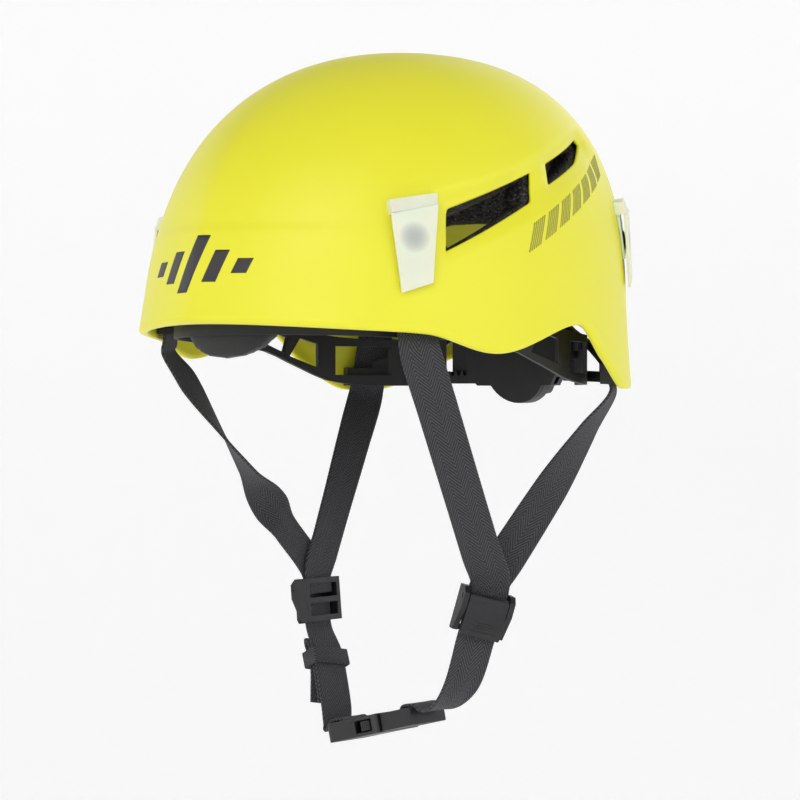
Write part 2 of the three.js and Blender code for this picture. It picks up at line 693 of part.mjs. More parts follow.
function dialPinion() {
  const points = [];
  for (let i = 0; i < PINION_TEETH; i += 1) {
    const middle = (i / PINION_TEETH) * 360;
    const tooth = [
      [-0.36, -toothRoot + 0.25], [-0.12, toothTip - 0.25], [0.12, toothTip - 0.25],
      [0.36, -toothRoot + 0.25],
    ];
    for (const [share, height] of tooth) {
      const angle = rad(middle + (share * 360) / PINION_TEETH);
      points.push([(pitchRadius + height) * Math.cos(angle), (pitchRadius + height) * Math.sin(angle)]);
    }
  }
  const y0 = BAND_REAR - stripFace - RUNNING_GAP + 0.1;
  const y1 = coverFace - NAPE_WALL - 2 * FIT;
  const gear = loft([y0, y1].map((y) => points.map(([x, z]) => vec(x, y, z))));
  const bore = bar(vec(0, y0 + 0.8, 0), vec(0, y1 + 1, 0), 1.5, 12);
  return cut(gear, bore).translate(0, 0, PINION_HEIGHT);
}

function dialScrew() {
  const tip = BAND_REAR + 0.6;
  const head = dialFloor + DIAL_DEPTH - 2 + STACK_GAP;
  const profile = [[0, tip], [1.2, tip], [1.2, head], [3, head], [3, head + 1.2], [0, head + 1.2]];
  return turned(profile, 14).rotateX(-Math.PI / 2).translate(0, 0, PINION_HEIGHT);
}

// Leaf spring round the dial's hub, with two noses that click in the dial's notches.
function detentSpring() {
  const y0 = coverFace + FIT;
  const y1 = y0 + 2;
  const nose = DIAL_RADIUS - 5 - FIT - 0.2;
  const half = Array.from({ length: 7 }, (_, i) => {
    const angle = rad(-75 + (150 * i) / 6);
    const r = 8.5;
    return [r * Math.cos(angle), r * Math.sin(angle)];
  });
  const right = [
    [2.6, -8.4], ...half.slice(1, 3), [nose - 3, -2.5], [nose, 0], [nose - 3, 2.5],
    ...half.slice(4, 6), [2.6, 8.4],
  ];
  const left = right.map(([x, z]) => [-x, z]).reverse();
  const leaf = loft([y0, y1].map((y) => [...right, ...left].map(([x, z]) => vec(x, y, z))));
  const hole = bar(vec(0, y0 - 1, 0), vec(0, y1 + 1, 0), DIAL_SHAFT_RADIUS + RUNNING_GAP, 20);
  return cut(leaf, hole).translate(0, 0, PINION_HEIGHT);
}

function napeScrew([x, z]) {
  const turn = (Math.asin(x / BAND_RADIUS) * 180) / Math.PI;
  const face = bandPoint(turn, cavityInner - NAPE_WALL - FIT, z).y - 1.1;
  const profile = [[0, -1.6], [2.6, -1.6], [2.6, 0], [1.1, 0], [1.1, 8], [0, 8]];
  return turned(profile, 12).rotateX(-Math.PI / 2).translate(x, face, z);
}

function browPad() {
  const half = (BROW_PAD_HALF_WIDTH / BAND_FRONT_LENGTH) * (180 / Math.PI);
  const outer = bandInner - 2.5 * FIT;
  const slab = bentStrip(
    180 - half, 180 + half, 12, outer, outer - BROW_PAD_THICKNESS, BROW_PAD_BOTTOM - 5, BROW_PAD_TOP,
  );
  const outline = [[BROW_PAD_HALF_WIDTH, BROW_PAD_TOP - 2], [BROW_PAD_HALF_WIDTH, BROW_PAD_TOP - 10]];
  for (let i = 1; i < 8; i += 1) {
    const angle = (-Math.PI * i) / 8;
    const drop = BROW_PAD_TOP - 10 - BROW_PAD_BOTTOM;
    outline.push([BROW_PAD_HALF_WIDTH * Math.cos(angle), BROW_PAD_TOP - 10 + drop * Math.sin(angle)]);
  }
  outline.push([-BROW_PAD_HALF_WIDTH, BROW_PAD_TOP - 10], [-BROW_PAD_HALF_WIDTH, BROW_PAD_TOP - 2]);
  return common(slab, backPrism(outline, -SHELL_HALF_LENGTH, 0));
}

// ---- clips, rivets and hangers ------------------------------------------------------------------

// Outline points of a clip between two local heights, raked like the shell's ledge.
function clipOutline(side, low, high, margin = 0) {
  const half = (y) => {
    const t = (y + CLIP_BELOW) / (CLIP_ABOVE + CLIP_BELOW);
    return (CLIP_TIP_WIDTH + (CLIP_TOP_WIDTH - CLIP_TIP_WIDTH) * t) / 2 - margin;
  };
  return [
    [-half(low), low - CLIP_RAKE], [half(low), low + CLIP_RAKE],
    [half(high), high + CLIP_RAKE], [-half(high), high - CLIP_RAKE],
  ].map(([x, y]) => [x * side, y]);
}

// How far the clip's outer face stands proud at a local height.
function clipFace(y) {
  const t = (y + CLIP_BELOW) / (CLIP_CREASE + CLIP_BELOW);
  return CLIP_TIP_PROUD + t * (CLIP_PROUD - CLIP_TIP_PROUD);
}

function clipBase(corner) {
  const place = cornerFrame(corner);
  const plate = (outline, low, high) => loft([low, high].map((z) => outline.map(([x, y]) => vec(x, y, z))));
  const block = plate(clipOutline(corner.side, CLIP_CREASE + FIT, CLIP_ABOVE), -3, CLIP_PROUD);
  const flange = plate(clipOutline(corner.side, -8, CLIP_CREASE + 3, 1.5), -3, FIT + CLIP_FLANGE);
  const whole = join(block, flange).applyMatrix4(place);
  return cut(whole, domeCore(FIT), rivetHole(corner, RIVET_SHANK_RADIUS + STACK_GAP, 6, -6));
}

function clipTongue(corner) {
  const outline = clipOutline(corner.side, -CLIP_BELOW, CLIP_CREASE);
  const back = outline.map(([x, y]) => vec(x, y, clipFace(y) - TONGUE_THICKNESS));
  const face = outline.map(([x, y]) => vec(x, y, clipFace(y)));
  return loft([back, face]);
}

function rivet(corner) {
  const seat = FIT + CLIP_FLANGE + STACK_GAP;
  const tail = washerTop(corner) - WASHER_THICKNESS - STACK_GAP;
  const r = RIVET_SHANK_RADIUS;
  const profile = [
    [0, tail - 0.8], [r + 1.2, tail - 0.8], [r + 1.2, tail], [r, tail],
    [r, seat], [RIVET_HEAD_RADIUS, seat], [RIVET_HEAD_RADIUS, seat + 0.25],
    [RIVET_HEAD_RADIUS - 1, seat + 0.6], [0, seat + 0.6],
  ];
  return turned(profile, 12);
}

function rivetWasher(corner) {
  const top = washerTop(corner);
  const hole = RIVET_SHANK_RADIUS + STACK_GAP;
  const rim = 6;
  const ring = [
    [hole, top - WASHER_THICKNESS], [rim, top - WASHER_THICKNESS], [rim, top], [hole, top],
    [hole, top - WASHER_THICKNESS],
  ];
  return turned(ring, 12);
}

// Where the webbing leaves the shell: an angle, a height and how far inside the outer face it lies.
const FRONT_EXIT = { angle: 56, height: 31 };
const REAR_EXIT = { angle: 125, height: 13 };
const REAR_EXIT_OFFSET = -(SHELL_WALL + RIM_BEAD + 5.2);

function exitPlace({ side, hanger }) {
  const exit = hanger ? FRONT_EXIT : REAR_EXIT;
  const normal = domeNormal(side * exit.angle, exit.height);
  const offset = hanger ? webbingOffset({ hanger }) : REAR_EXIT_OFFSET;
  const across = vec(0, 0, 1).cross(normal);
  return frame(nearDome(side * exit.angle, exit.height, offset), across, vec(0, 0, 1));
}

const rearStrapGuide = (side) => vec(0, 0, 0).applyMatrix4(exitPlace({ side, hanger: false }));

// Slot in the cover's arm that the rear webbing passes through.
function rearStrapSlot(side) {
  const half = WEBBING_WIDTH / 2 + 1.6;
  return box(-half, half, -30, 30, -2, 2).applyMatrix4(exitPlace({ side, hanger: false }));
}

// Loop at the arm's end, round the rear webbing.
function rearStrapLoop(side) {
  const half = WEBBING_WIDTH / 2 + 3.6;
  return box(-half, half, -4, 6, -3.9, 3.9).applyMatrix4(exitPlace({ side, hanger: false }));
}

// The space inside the headband, used to end the hangers' arms on it.
function bandCore(offset) {
  const ring = (z) => Array.from(
    { length: 72 }, (_, k) => bandPoint(k * 5, bandInner + BAND_WALL + offset, z),
  );
  return loft([ring(0), ring(60)]);
}

// Front hanger: a plate inside the shell, held by the clip's rivet, whose arm carries the headband.
function frontHanger(corner) {
  const slope = (z) => {
    const t = (corner.height - z) / (corner.height - FRONT_EXIT.height);
    return corner.side * (corner.angle + (FRONT_EXIT.angle - corner.angle) * t);
  };
  const plate = domePatch(
    slope, HANGER_HALF_WIDTH, FRONT_EXIT.height + 5, corner.height + 8, hangerFace, hangerBack, 4, 5,
  );
  const place = exitPlace(corner);
  const back = -webbingOffset(corner) + hangerBack;
  const half = WEBBING_WIDTH / 2 + 0.8;
  const reach = back + HANGER_THICKNESS / 2;
  const arm = box(-HANGER_HALF_WIDTH, HANGER_HALF_WIDTH, 4, 7, -40, reach).applyMatrix4(place);
  const slot = box(-half, half, -20, 20, -2.2, back - 0.2).applyMatrix4(place);
  const hole = rivetHole(corner, RIVET_SHANK_RADIUS + FIT, 0, -12);
  const skin = cut(arm, domeShellBand());
  return cut(join(plate, skin), slot, bandCore(FIT), hole);
}

// A thick skin outside the hangers' outer face, which keeps their arms off the shell.
function domeShellBand() {
  return domeBowl(SHELL_COLUMNS, SHELL_ROWS, () => 20, () => 12, () => hangerFace);
}

// ---- webbing ------------------------------------------------------------------------------------

// Flat webbing through stations of a place and a direction across the strap.
function webbing(stations, perSpan = 5, width = WEBBING_WIDTH, thickness = WEBBING_THICKNESS) {
  const path = new THREE.CatmullRomCurve3(stations.map((s) => s.at), false, 'centripetal');
  const sides = new THREE.CatmullRomCurve3(
    stations.map((s) => s.across.clone().normalize()), false, 'centripetal',
  );
  const steps = perSpan * (stations.length - 1);
  const rings = [];
  for (let i = 0; i <= steps; i += 1) {
    const t = i / steps;
    const at = path.getPoint(t);
    const behind = path.getPoint(Math.max(t - 1e-3, 0));
    const along = path.getPoint(Math.min(t + 1e-3, 1)).sub(behind).normalize();
    const across = sides.getPoint(t).projectOnPlane(along).normalize();
    const up = along.clone().cross(across);
    rings.push([[1, 1], [-1, 1], [-1, -1], [1, -1]].map(([a, b]) => at.clone()
      .addScaledVector(across, (a * width) / 2).addScaledVector(up, (b * thickness) / 2)));
  }
  return loft(rings);
}

const heading = (degrees, lift = 0) => vec(Math.cos(rad(degrees)), Math.sin(rad(degrees)), lift);

// The adjusters hang turned as the harness leaves them; x runs across the webbing, y runs up it and
// z points outwards.
const ADJUSTERS = {
  left: { side: 1, across: heading(57.6, -0.26), up: vec(0.12, 0.03, 1) },
  right: { side: -1, across: heading(273), up: vec(-0.1, 0.1, 1) },
};

function adjusterFrame({ side, across, up }) {
  return frame(
    vec(side * (SHELL_HALF_WIDTH - ADJUSTER_INSET), ADJUSTER_FORWARD, -ADJUSTER_DROP), across, up,
  );
}

const FRONT_LAYER = 0.5;
const REAR_LAYER = -1.9;

// How each leg's width turns on its way down: [share of the free length, heading].
const LEG_TURNS = {
  front_left: [[0.25, 60], [0.6, 62], [0.85, 58]],
  front_right: [[0.12, 105], [0.36, 133], [0.54, 165], [0.66, 222], [0.79, 272]],
  rear_left: [[0.2, 100], [0.5, 72], [0.85, 58]],
  rear_right: [[0.25, 255], [0.6, 268], [0.85, 272]],
};

function strapLeg(corner) {
  const { side, angle, height, hanger, name } = corner;
  const adjuster = ADJUSTERS[side > 0 ? 'left' : 'right'];
  const place = adjusterFrame(adjuster);
  const exit = hanger ? FRONT_EXIT : REAR_EXIT;
  const exitOffset = hanger ? webbingOffset(corner) : REAR_EXIT_OFFSET;
  const stations = [];
  for (const t of [-0.2, 0, 0.25, 0.5, 0.8, 1, 1.12]) {
    const z = height + (exit.height - height) * t;
    const turn = side * (angle + (exit.angle - angle) * t);
    const deep = clamp01((t - 0.25) / 0.5);
    const at = nearDome(turn, z, webbingOffset(corner) + (exitOffset - webbingOffset(corner)) * deep);
    stations.push({ at, across: vec(0, 0, 1).cross(domeNormal(turn, z)) });
  }
  const layer = hanger ? FRONT_LAYER : REAR_LAYER;
  const end = vec(0, 3.2, layer).applyMatrix4(place);
  const mouth = vec(0, ADJUSTER_HEIGHT / 2 + 3, layer).applyMatrix4(place);
  const start = stations.at(-1).at.clone();
  const leave = mouth.clone().sub(start);
  const sameWay = stations.at(-1).across;
  for (const [share, turn] of LEG_TURNS[name]) {
    const at = start.clone().addScaledVector(leave, share);
    stations.push({ at, across: heading(turn) });
  }
  // The webbing has two edges, so its direction across may point either way at the adjuster.
  const last = adjuster.across.clone();
  if (last.dot(stations.at(-1).across) < 0) last.negate();
  if (sameWay.dot(stations[stations.length - LEG_TURNS[name].length].across) < 0) {
    stations.slice(0, -LEG_TURNS[name].length).forEach((s) => s.across.negate());
  }
  stations.push({ at: mouth, across: last }, { at: end, across: last });
  return cut(webbing(stations, 2), rivetHole(corner, RIVET_SHANK_RADIUS + FIT, 0, -14));
}

// ---- adjusters ----------------------------------------------------------------------------------

const cheekInner = WEBBING_WIDTH / 2 + 0.9;
const cheekOuter = cheekInner + CHEEK_THICKNESS;
const halfHeight = ADJUSTER_HEIGHT / 2;
const leverPin = vec(0, 6.5, 4.1);
const HUB_RADIUS = 2.6;

function adjusterBody() {
  const bars = [halfHeight - 3, -1.8, -halfHeight].map((y) => box(
    -cheekInner - 1, cheekInner + 1, y, y + 3, -4.9, -3.1,
  ));
  const cheeks = [1, -1].map((side) => {
    const outline = [
      [-halfHeight, -4.9], [halfHeight, -4.9], [halfHeight, 3], [halfHeight - 3, 6.2], [1, 6.2],
      [-halfHeight, 0.5],
    ];
    return sidePrism(outline, side * cheekInner, side * cheekOuter);
  });
  const holes = bar(
    vec(-20, leverPin.y, leverPin.z), vec(20, leverPin.y, leverPin.z), LEVER_PIN_RADIUS + 0.12, 14,
  );
  return cut(join(cheeks[0], cheeks[1], ...bars), holes);
}

function adjusterLever() {
  const half = cheekInner - RUNNING_GAP;
  const tip = leverPin.y - LEVER_LENGTH;
  const flap = sidePrism(
    [[leverPin.y, 3.7], [leverPin.y, 5.9], [tip + 2, 6.4], [tip, 5.2], [tip, 4.1]], -half, half,
  );
  const hub = bar(vec(-half, leverPin.y, leverPin.z), vec(half, leverPin.y, leverPin.z), HUB_RADIUS, 16);
  const bore = bar(
    vec(-20, leverPin.y, leverPin.z), vec(20, leverPin.y, leverPin.z), LEVER_PIN_RADIUS + 0.12, 14,
  );
  return cut(join(flap, hub), bore);
}

function adjusterPin() {
  const half = cheekOuter - 0.2;
  return bar(vec(-half, leverPin.y, leverPin.z), vec(half, leverPin.y, leverPin.z), LEVER_PIN_RADIUS, 14);
}

// ---- buckle -------------------------------------------------------------------------------------

// Local x runs along the buckle to the wearer's left, y across the webbing and z out of its top.
const buckleFrame = frame(
  vec(...BUCKLE_CENTRE), vec(Math.cos(rad(BUCKLE_TILT)), 0, Math.sin(rad(BUCKLE_TILT))), vec(0, 1, 0),
);
const mouthX = 7;
const bodyEnd = mouthX - BUCKLE_BODY_LENGTH;
const halfBuckle = BUCKLE_WIDTH / 2;
const PRONG_TIP = -10;
const slotHalf = WEBBING_WIDTH / 2 + 0.6;

function buckleBody() {
  const top = BUCKLE_HEIGHT / 2;
  const outline = (z) => [
    [bodyEnd, halfBuckle - 1.5], [bodyEnd + 3, halfBuckle], [mouthX - 6, halfBuckle],
    [mouthX - 2, halfBuckle + 1.5], [mouthX, halfBuckle + 1.5],
    [mouthX, -halfBuckle - 1.5], [mouthX - 2, -halfBuckle - 1.5],
    [mouthX - 6, -halfBuckle], [bodyEnd + 3, -halfBuckle], [bodyEnd, -halfBuckle + 1.5],
  ].map(([x, y]) => vec(x, y, z));
  const inner = halfBuckle - BUCKLE_WALL - 0.8;
  const pocket = box(PRONG_TIP - 3.5, mouthX + 1, -inner, inner, -top + BUCKLE_WALL, top - BUCKLE_WALL);
  const windows = box(
    PRONG_TIP - 1, mouthX - 6.5, -halfBuckle - 3, halfBuckle + 3, -top + BUCKLE_WALL,
    top - BUCKLE_WALL,
  );
  const slots = [0, 1].map((k) => {
    const x = bodyEnd + 3 + k * 6.2;
    return box(x, x + 3.4, -slotHalf, slotHalf, -top - 1, top + 1);
  });
  return cut(loft([outline(-top), outline(top)]), pocket, windows, ...slots);
}

const plugFace = mouthX + FIT;
const plugEnd = plugFace + PLUG_LENGTH;

function bucklePlug() {
  const top = BUCKLE_HEIGHT / 2 - 0.4;
  const block = box(plugFace, plugEnd, -halfBuckle, halfBuckle, -top, top);
  const guide = box(PRONG_TIP, plugFace + 1, -2.4, 2.4, -2.2, 2.2);
  const slots = [0, 1].map((k) => {
    const x = plugEnd - 6 - k * 6.4;
    return box(x, x + 3.4, -slotHalf, slotHalf, -10, 10);
  });
  const seats = [6.9, -10.9].map((y) => box(plugFace - 1, plugFace + 3.5, y, y + 4, -3, 3));
  return cut(join(block, guide), ...slots, ...seats);
}

// One springy prong, from its root in the plug to the thumb pad that shows in the body's window.
function buckleProng(side) {
  const outline = [
    [plugFace + 3.2, 7.2], [plugFace + 3.2, 10.6], [mouthX - 7.4, 10.4],
    [mouthX - 8.2, halfBuckle - 0.3], [PRONG_TIP + 3, halfBuckle - 0.3],
    [PRONG_TIP, 10.2], [PRONG_TIP, 8.4], [mouthX - 6, 8.2],
  ].map(([x, y]) => [x, y * side]);
  return loft([-2.6, 2.6].map((z) => outline.map(([x, y]) => vec(x, y, z))));
}

// ---- chin straps --------------------------------------------------------------------------------

// How each chin strap bows between its adjuster and the buckle: [share of the way, offset x, y, z,
// heading].
const CHIN_ROUTES = {
  left: [[0.53, 4.8, 0.8, -3, 66], [0.84, 3.1, 0.4, -1.9, 82]],
  right: [[0.24, 1.3, 1.4, 0.4, 266], [0.49, 1.8, 0.7, 0.7, 264], [0.76, 1.7, -0.2, 0.8, 264]],
};

function chinStations(name) {
  const adjuster = ADJUSTERS[name];
  const place = adjusterFrame(adjuster);
  const local = [[0, 0.8, 0.2], [0, -5, 0.2], [0, -halfHeight - 3, 0.2]];
  const stations = local.map(([x, y, z]) => ({
    at: vec(x, y, z).applyMatrix4(place), across: adjuster.across,
  }));
  const ends = adjuster.side > 0 ? [plugEnd + 4, plugEnd + FIT] : [bodyEnd - 4, bodyEnd - FIT];
  const arrive = ends.map((x) => vec(x, 0, 0).applyMatrix4(buckleFrame));
  const leave = stations.at(-1).at;
  for (const [share, x, y, z, turn] of CHIN_ROUTES[name]) {
    stations.push({ at: leave.clone().lerp(arrive[0], share).add(vec(x, y, z)), across: heading(turn) });
  }
  for (const at of arrive) stations.push({ at, across: vec(0, adjuster.side, 0) });
  return stations;
}

// Places beside the right chin strap: a share of its middle run and a distance off its face.
function besideRightStrap(share, distance, shift = 0) {
  const run = chinStations('right').slice(2, -2);
  const path = new THREE.CatmullRomCurve3(run.map((s) => s.at), false, 'centripetal');
  const at = path.getPoint(share);
  const along = path.getTangent(share);
  const across = heading(266).projectOnPlane(along).normalize();
  const out = across.clone().cross(along.clone().negate()).normalize();
  return { at: at.addScaledVector(out, distance).addScaledVector(across, shift), across, along };
}

// Spare webbing, folded back on itself along the right chin strap.
function strapTail() {
  const layer = WEBBING_THICKNESS + 0.8;
  const rise = [0.96, 0.83, 0.7, 0.57, 0.44, 0.31, 0.2].map((t) => besideRightStrap(t, layer));
  const fold = besideRightStrap(0.13, layer * 1.5);
  const fall = [0.2, 0.31, 0.44, 0.57].map((t) => besideRightStrap(t, layer * 2));
  const loop = [[0.75, 2.8], [0.92, 3.6]].map(([t, layers]) => besideRightStrap(t, layer * layers));
  return webbing([...rise, fold, ...fall, ...loop], 2);
}

function strapKeeper() {
  const middle = besideRightStrap(0.42, (WEBBING_THICKNESS + 0.8) * 1.0);
  const place = frame(middle.at, middle.across, middle.along.clone().negate());
  const half = WEBBING_WIDTH / 2 + 0.9;
  const deep = WEBBING_THICKNESS * 1.5 + 2.3;
  const ring = (x, z) => box(-x, x, -KEEPER_HEIGHT / 2, KEEPER_HEIGHT / 2, -z, z);
  const loop = cut(ring(half + 1, deep + 1), box(-half, half, -20, 20, -deep, deep));
  return loop.applyMatrix4(place);
}

// ---- assembly -----------------------------------------------------------------------------------

const FINISHES = {
  shell: new THREE.MeshStandardMaterial({ color: '#eef050', roughness: 0.42, metalness: 0 }),
  foam: new THREE.MeshStandardMaterial({ color: '#22211d', roughness: 0.95, metalness: 0 }),
  padding: new THREE.MeshStandardMaterial({ color: '#1b1b1e', roughness: 0.9, metalness: 0 }),
  plastic: new THREE.MeshStandardMaterial({ color: '#1c1c20', roughness: 0.5, metalness: 0 }),
  clip: new THREE.MeshStandardMaterial({ color: '#f3f4e0', roughness: 0.35, metalness: 0 }),
  webbing: new THREE.MeshStandardMaterial({ color: '#2b2a2e', roughness: 0.85, metalness: 0 }),
  steel: new THREE.MeshStandardMaterial({ color: '#8d8f93', roughness: 0.35, metalness: 1 }),
};

const helmet = new THREE.Group();

function add(name, geometry, finish, place = null) {
  const mesh = new THREE.Mesh(geometry, FINISHES[finish]);
  mesh.name = name;
  if (place) mesh.applyMatrix4(place);
  helmet.add(mesh);
}

add('outer_shell', outerShell(), 'shell');
add('foam_liner', foamLiner(), 'foam');
add('crown_pad', crownPad(), 'padding');
add('brow_pad', browPad(), 'padding');
add('headband', headband(), 'plastic');
add('nape_cradle', napeCradle(), 'plastic');
add('nape_cover', napeCover(), 'plastic');
const screwPlaces = napeScrewPlaces();
add('nape_screw_right', napeScrew(screwPlaces[0]), 'steel');
add('nape_screw_left', napeScrew(screwPlaces[1]), 'steel');
add('size_dial', sizeDial(), 'plastic');
add('dial_pinion', dialPinion(), 'plastic');
add('dial_screw', dialScrew(), 'steel');
add('detent_spring', detentSpring(), 'steel');
add('right_size_strip', sizeStrip(STRIPS.right), 'plastic');
add('left_size_strip', sizeStrip(STRIPS.left), 'plastic');

for (const corner of CORNERS) {
  add(`clip_base_${corner.name}`, clipBase(corner), 'clip');
  add(`clip_tongue_${corner.name}`, clipTongue(corner), 'clip', cornerFrame(corner));
  add(`clip_rivet_${corner.name}`, rivet(corner), 'steel', cornerFrame(corner));
  add(`rivet_washer_${corner.name}`, rivetWasher(corner), 'steel', cornerFrame(corner));
  add(`strap_${corner.name}`, strapLeg(corner), 'webbing');
  if (corner.hanger) add(`hanger_${corner.name}`, frontHanger(corner), 'plastic');
}

for (const [name, adjuster] of Object.entries(ADJUSTERS)) {
  const place = adjusterFrame(adjuster);
  add(`adjuster_frame_${name}`, adjusterBody(), 'plastic', place);
  add(`adjuster_lever_${name}`, adjusterLever(), 'plastic', place);
  add(`adjuster_pin_${name}`, adjusterPin(), 'steel', place);
  add(`chin_strap_${name}`, webbing(chinStations(name), 3), 'webbing');
}

add('strap_tail', strapTail(), 'webbing');
add('strap_keeper', strapKeeper(), 'webbing');
add('buckle_body', buckleBody(), 'plastic', buckleFrame);
add('buckle_plug', bucklePlug(), 'plastic', buckleFrame);
add('buckle_prong_front', buckleProng(-1), 'plastic', buckleFrame);
add('buckle_prong_rear', buckleProng(1), 'plastic', buckleFrame);

export default helmet;
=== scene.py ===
# %% [markdown]
# # A climbing helmet with a hard shell, foam liner and webbing harness
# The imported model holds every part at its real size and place, in metres, with +Z up, the front
# towards -Y and the wearer's left towards +X. This lesson keeps that frame and makes the surfaces:
# a smooth shell, beaded foam, woven webbing, padded cloth and moulded plastic.

# %% Load the frame
import json
import math

import bmesh
import bpy
import numpy as np
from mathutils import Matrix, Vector
from mathutils.bvhtree import BVHTree


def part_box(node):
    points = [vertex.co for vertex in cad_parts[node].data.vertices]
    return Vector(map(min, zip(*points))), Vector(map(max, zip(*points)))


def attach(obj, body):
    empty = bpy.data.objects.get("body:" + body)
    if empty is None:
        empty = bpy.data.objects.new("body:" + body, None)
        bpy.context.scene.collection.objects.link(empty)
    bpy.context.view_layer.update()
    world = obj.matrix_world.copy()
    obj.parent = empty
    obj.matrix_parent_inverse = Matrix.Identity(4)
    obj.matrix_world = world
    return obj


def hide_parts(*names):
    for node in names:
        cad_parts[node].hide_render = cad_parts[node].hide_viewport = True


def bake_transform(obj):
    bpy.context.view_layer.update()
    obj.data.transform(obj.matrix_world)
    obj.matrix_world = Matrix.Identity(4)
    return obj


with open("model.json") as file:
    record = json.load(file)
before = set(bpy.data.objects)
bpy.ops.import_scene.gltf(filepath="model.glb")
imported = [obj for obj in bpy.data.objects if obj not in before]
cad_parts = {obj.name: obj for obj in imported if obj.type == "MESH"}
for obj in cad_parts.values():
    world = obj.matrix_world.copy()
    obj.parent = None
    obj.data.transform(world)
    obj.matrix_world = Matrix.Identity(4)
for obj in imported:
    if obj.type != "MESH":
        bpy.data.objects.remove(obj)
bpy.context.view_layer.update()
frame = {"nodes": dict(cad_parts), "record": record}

MM = 0.001
body_of_node = {n: b for b, nodes in frame["record"]["behaviour"]["bodies"].items() for n in nodes}
slot_of_node = {s["node"]: s["material_slot"] for s in frame["record"]["subparts"]}
CORNERS = ("front_left", "front_right", "rear_left", "rear_right")

# %% [markdown]
# ## Camera
# The helmet hangs at eye level, as if worn, so the camera looks at it level. A long lens from
# 1.2 metres keeps the near and far side of the harness close in size. A small sideways shift puts
# the helmet a little left of the middle without turning the camera.

# %% Camera
CAMERA_AZIMUTH = math.radians(42.6)
CAMERA_DISTANCE = 1.2
CAMERA_LENS = 104.2
CAMERA_SHIFT = 0.0153

back = Vector((math.sin(CAMERA_AZIMUTH), -math.cos(CAMERA_AZIMUTH), 0))
camera = bpy.data.objects.new("camera", bpy.data.cameras.new("camera"))
camera.data.lens = CAMERA_LENS
camera.data.shift_x = CAMERA_SHIFT
camera.location = back * CAMERA_DISTANCE
camera.rotation_euler = (-back).to_track_quat("-Z", "Y").to_euler()
bpy.context.collection.objects.link(camera)
bpy.context.scene.camera = camera
print("camera at", [round(c, 3) for c in camera.location])

# %% [markdown]
# ## Studio
# A pale bowl stands in for floor and backdrop, so that every side of the helmet is seen against
# the same plain ground. Large soft area lights give the broad, even light of a product studio.
# The stronger one stands high in front, so the shell's sides fall off gently.

# %% Studio floor and lights
FLOOR_Z = -0.75
BOWL_RADIUS = 3.2
BOWL_HEIGHT = 2.6
bpy.context.scene.view_settings.view_transform = "Standard"


def plain_material(name, color, roughness, glow):
    material = bpy.data.materials.new(name)
    material.use_nodes = True
    shader = material.node_tree.nodes["Principled BSDF"]
    shader.inputs["Base Color"].default_value = (*color, 1)
    shader.inputs["Roughness"].default_value = roughness
    shader.inputs["Emission Color"].default_value = (1, 1, 1, 1)
    shader.inputs["Emission Strength"].default_value = glow
    return material


def studio_bowl():
    rings = [(BOWL_RADIUS * 0.55 * t, FLOOR_Z) for t in (0.25, 0.5, 0.75, 1)]
    for step in range(1, 13):
        turn = math.pi / 2 * step / 12
        rings.append((
            BOWL_RADIUS * (0.55 + 0.45 * math.sin(turn)),
            FLOOR_Z + BOWL_RADIUS * 0.45 * (1 - math.cos(turn)),
        ))
    rings.append((BOWL_RADIUS, FLOOR_Z + BOWL_HEIGHT))
    sides = 72
    points = [(0, 0, FLOOR_Z)]
    for radius, z in rings:
        for k in range(sides):
            turn = 2 * math.pi * k / sides
            points.append((radius * math.cos(turn), radius * math.sin(turn), z))
    faces = [(0, 1 + k, 1 + (k + 1) % sides) for k in range(sides)]
    for i in range(len(rings) - 1):
        for k in range(sides):
            a, b = 1 + i * sides + k, 1 + i * sides + (k + 1) % sides
            faces.append((a, a + sides, b + sides, b))
    mesh = bpy.data.meshes.new("studio_bowl")
    mesh.from_pydata(points, [], faces)
    mesh.polygons.foreach_set("use_smooth", [True] * len(mesh.polygons))
    mesh.materials.append(plain_material("studio paper", (0.9, 0.9, 0.9), 0.9, 0.27))
    bowl = bpy.data.objects.new("studio_bowl", mesh)
    bpy.context.collection.objects.link(bowl)


def soft_light(name, place, size, power):
    light = bpy.data.objects.new(name, bpy.data.lights.new(name, "AREA"))
    light.data.shape = "RECTANGLE"
    light.data.size, light.data.size_y = size
    light.data.energy = power
    light.location = place
    light.rotation_euler = (-Vector(place)).to_track_quat("-Z", "Y").to_euler()
    bpy.context.collection.objects.link(light)


studio_bowl()
soft_light("key", (0.9, -1.6, 1.25), (1.5, 1.2), 12)
soft_light("fill", (1.9, 0.1, 0.8), (1.4, 1.6), 3.5)
soft_light("rim left", (-1.7, -0.9, 0.7), (0.9, 1.6), 1.5)
soft_light("rear", (-0.3, 1.9, 1.2), (1.8, 1.2), 4.5)
world = bpy.data.worlds.new("studio")
world.use_nodes = True
world.node_tree.nodes["Background"].inputs["Color"].default_value = (1, 1, 1, 1)
world.node_tree.nodes["Background"].inputs["Strength"].default_value = 0.36
bpy.context.scene.world = world

# %% [markdown]
# ## Shared effects
# Several finishes share the same small effects, so each effect is a node group with named inputs:
# the grain of a moulded surface, the beads of expanded foam, the zigzag of herringbone webbing,
# the knit of a padded laminate and a soft round spot. A group only gives heights and masks. The
# Shade masks of the beads, the webbing and the knit follow their heights, so they hold painted shade
# in the hollows and painted light on the raised parts. Each material keeps its own shader and
# decides what to do with them.

# %% Node group helpers
def new_group(name, inputs, outputs):
    group = bpy.data.node_groups.new(name, "ShaderNodeTree")
    for label, kind, value in inputs:
        socket = group.interface.new_socket(label, in_out="INPUT", socket_type="NodeSocket" + kind)
        if value is not None:
            socket.default_value = value
    for label, kind in outputs:
        group.interface.new_socket(label, in_out="OUTPUT", socket_type="NodeSocket" + kind)
    return group, group.nodes.new("NodeGroupInput"), group.nodes.new("NodeGroupOutput")


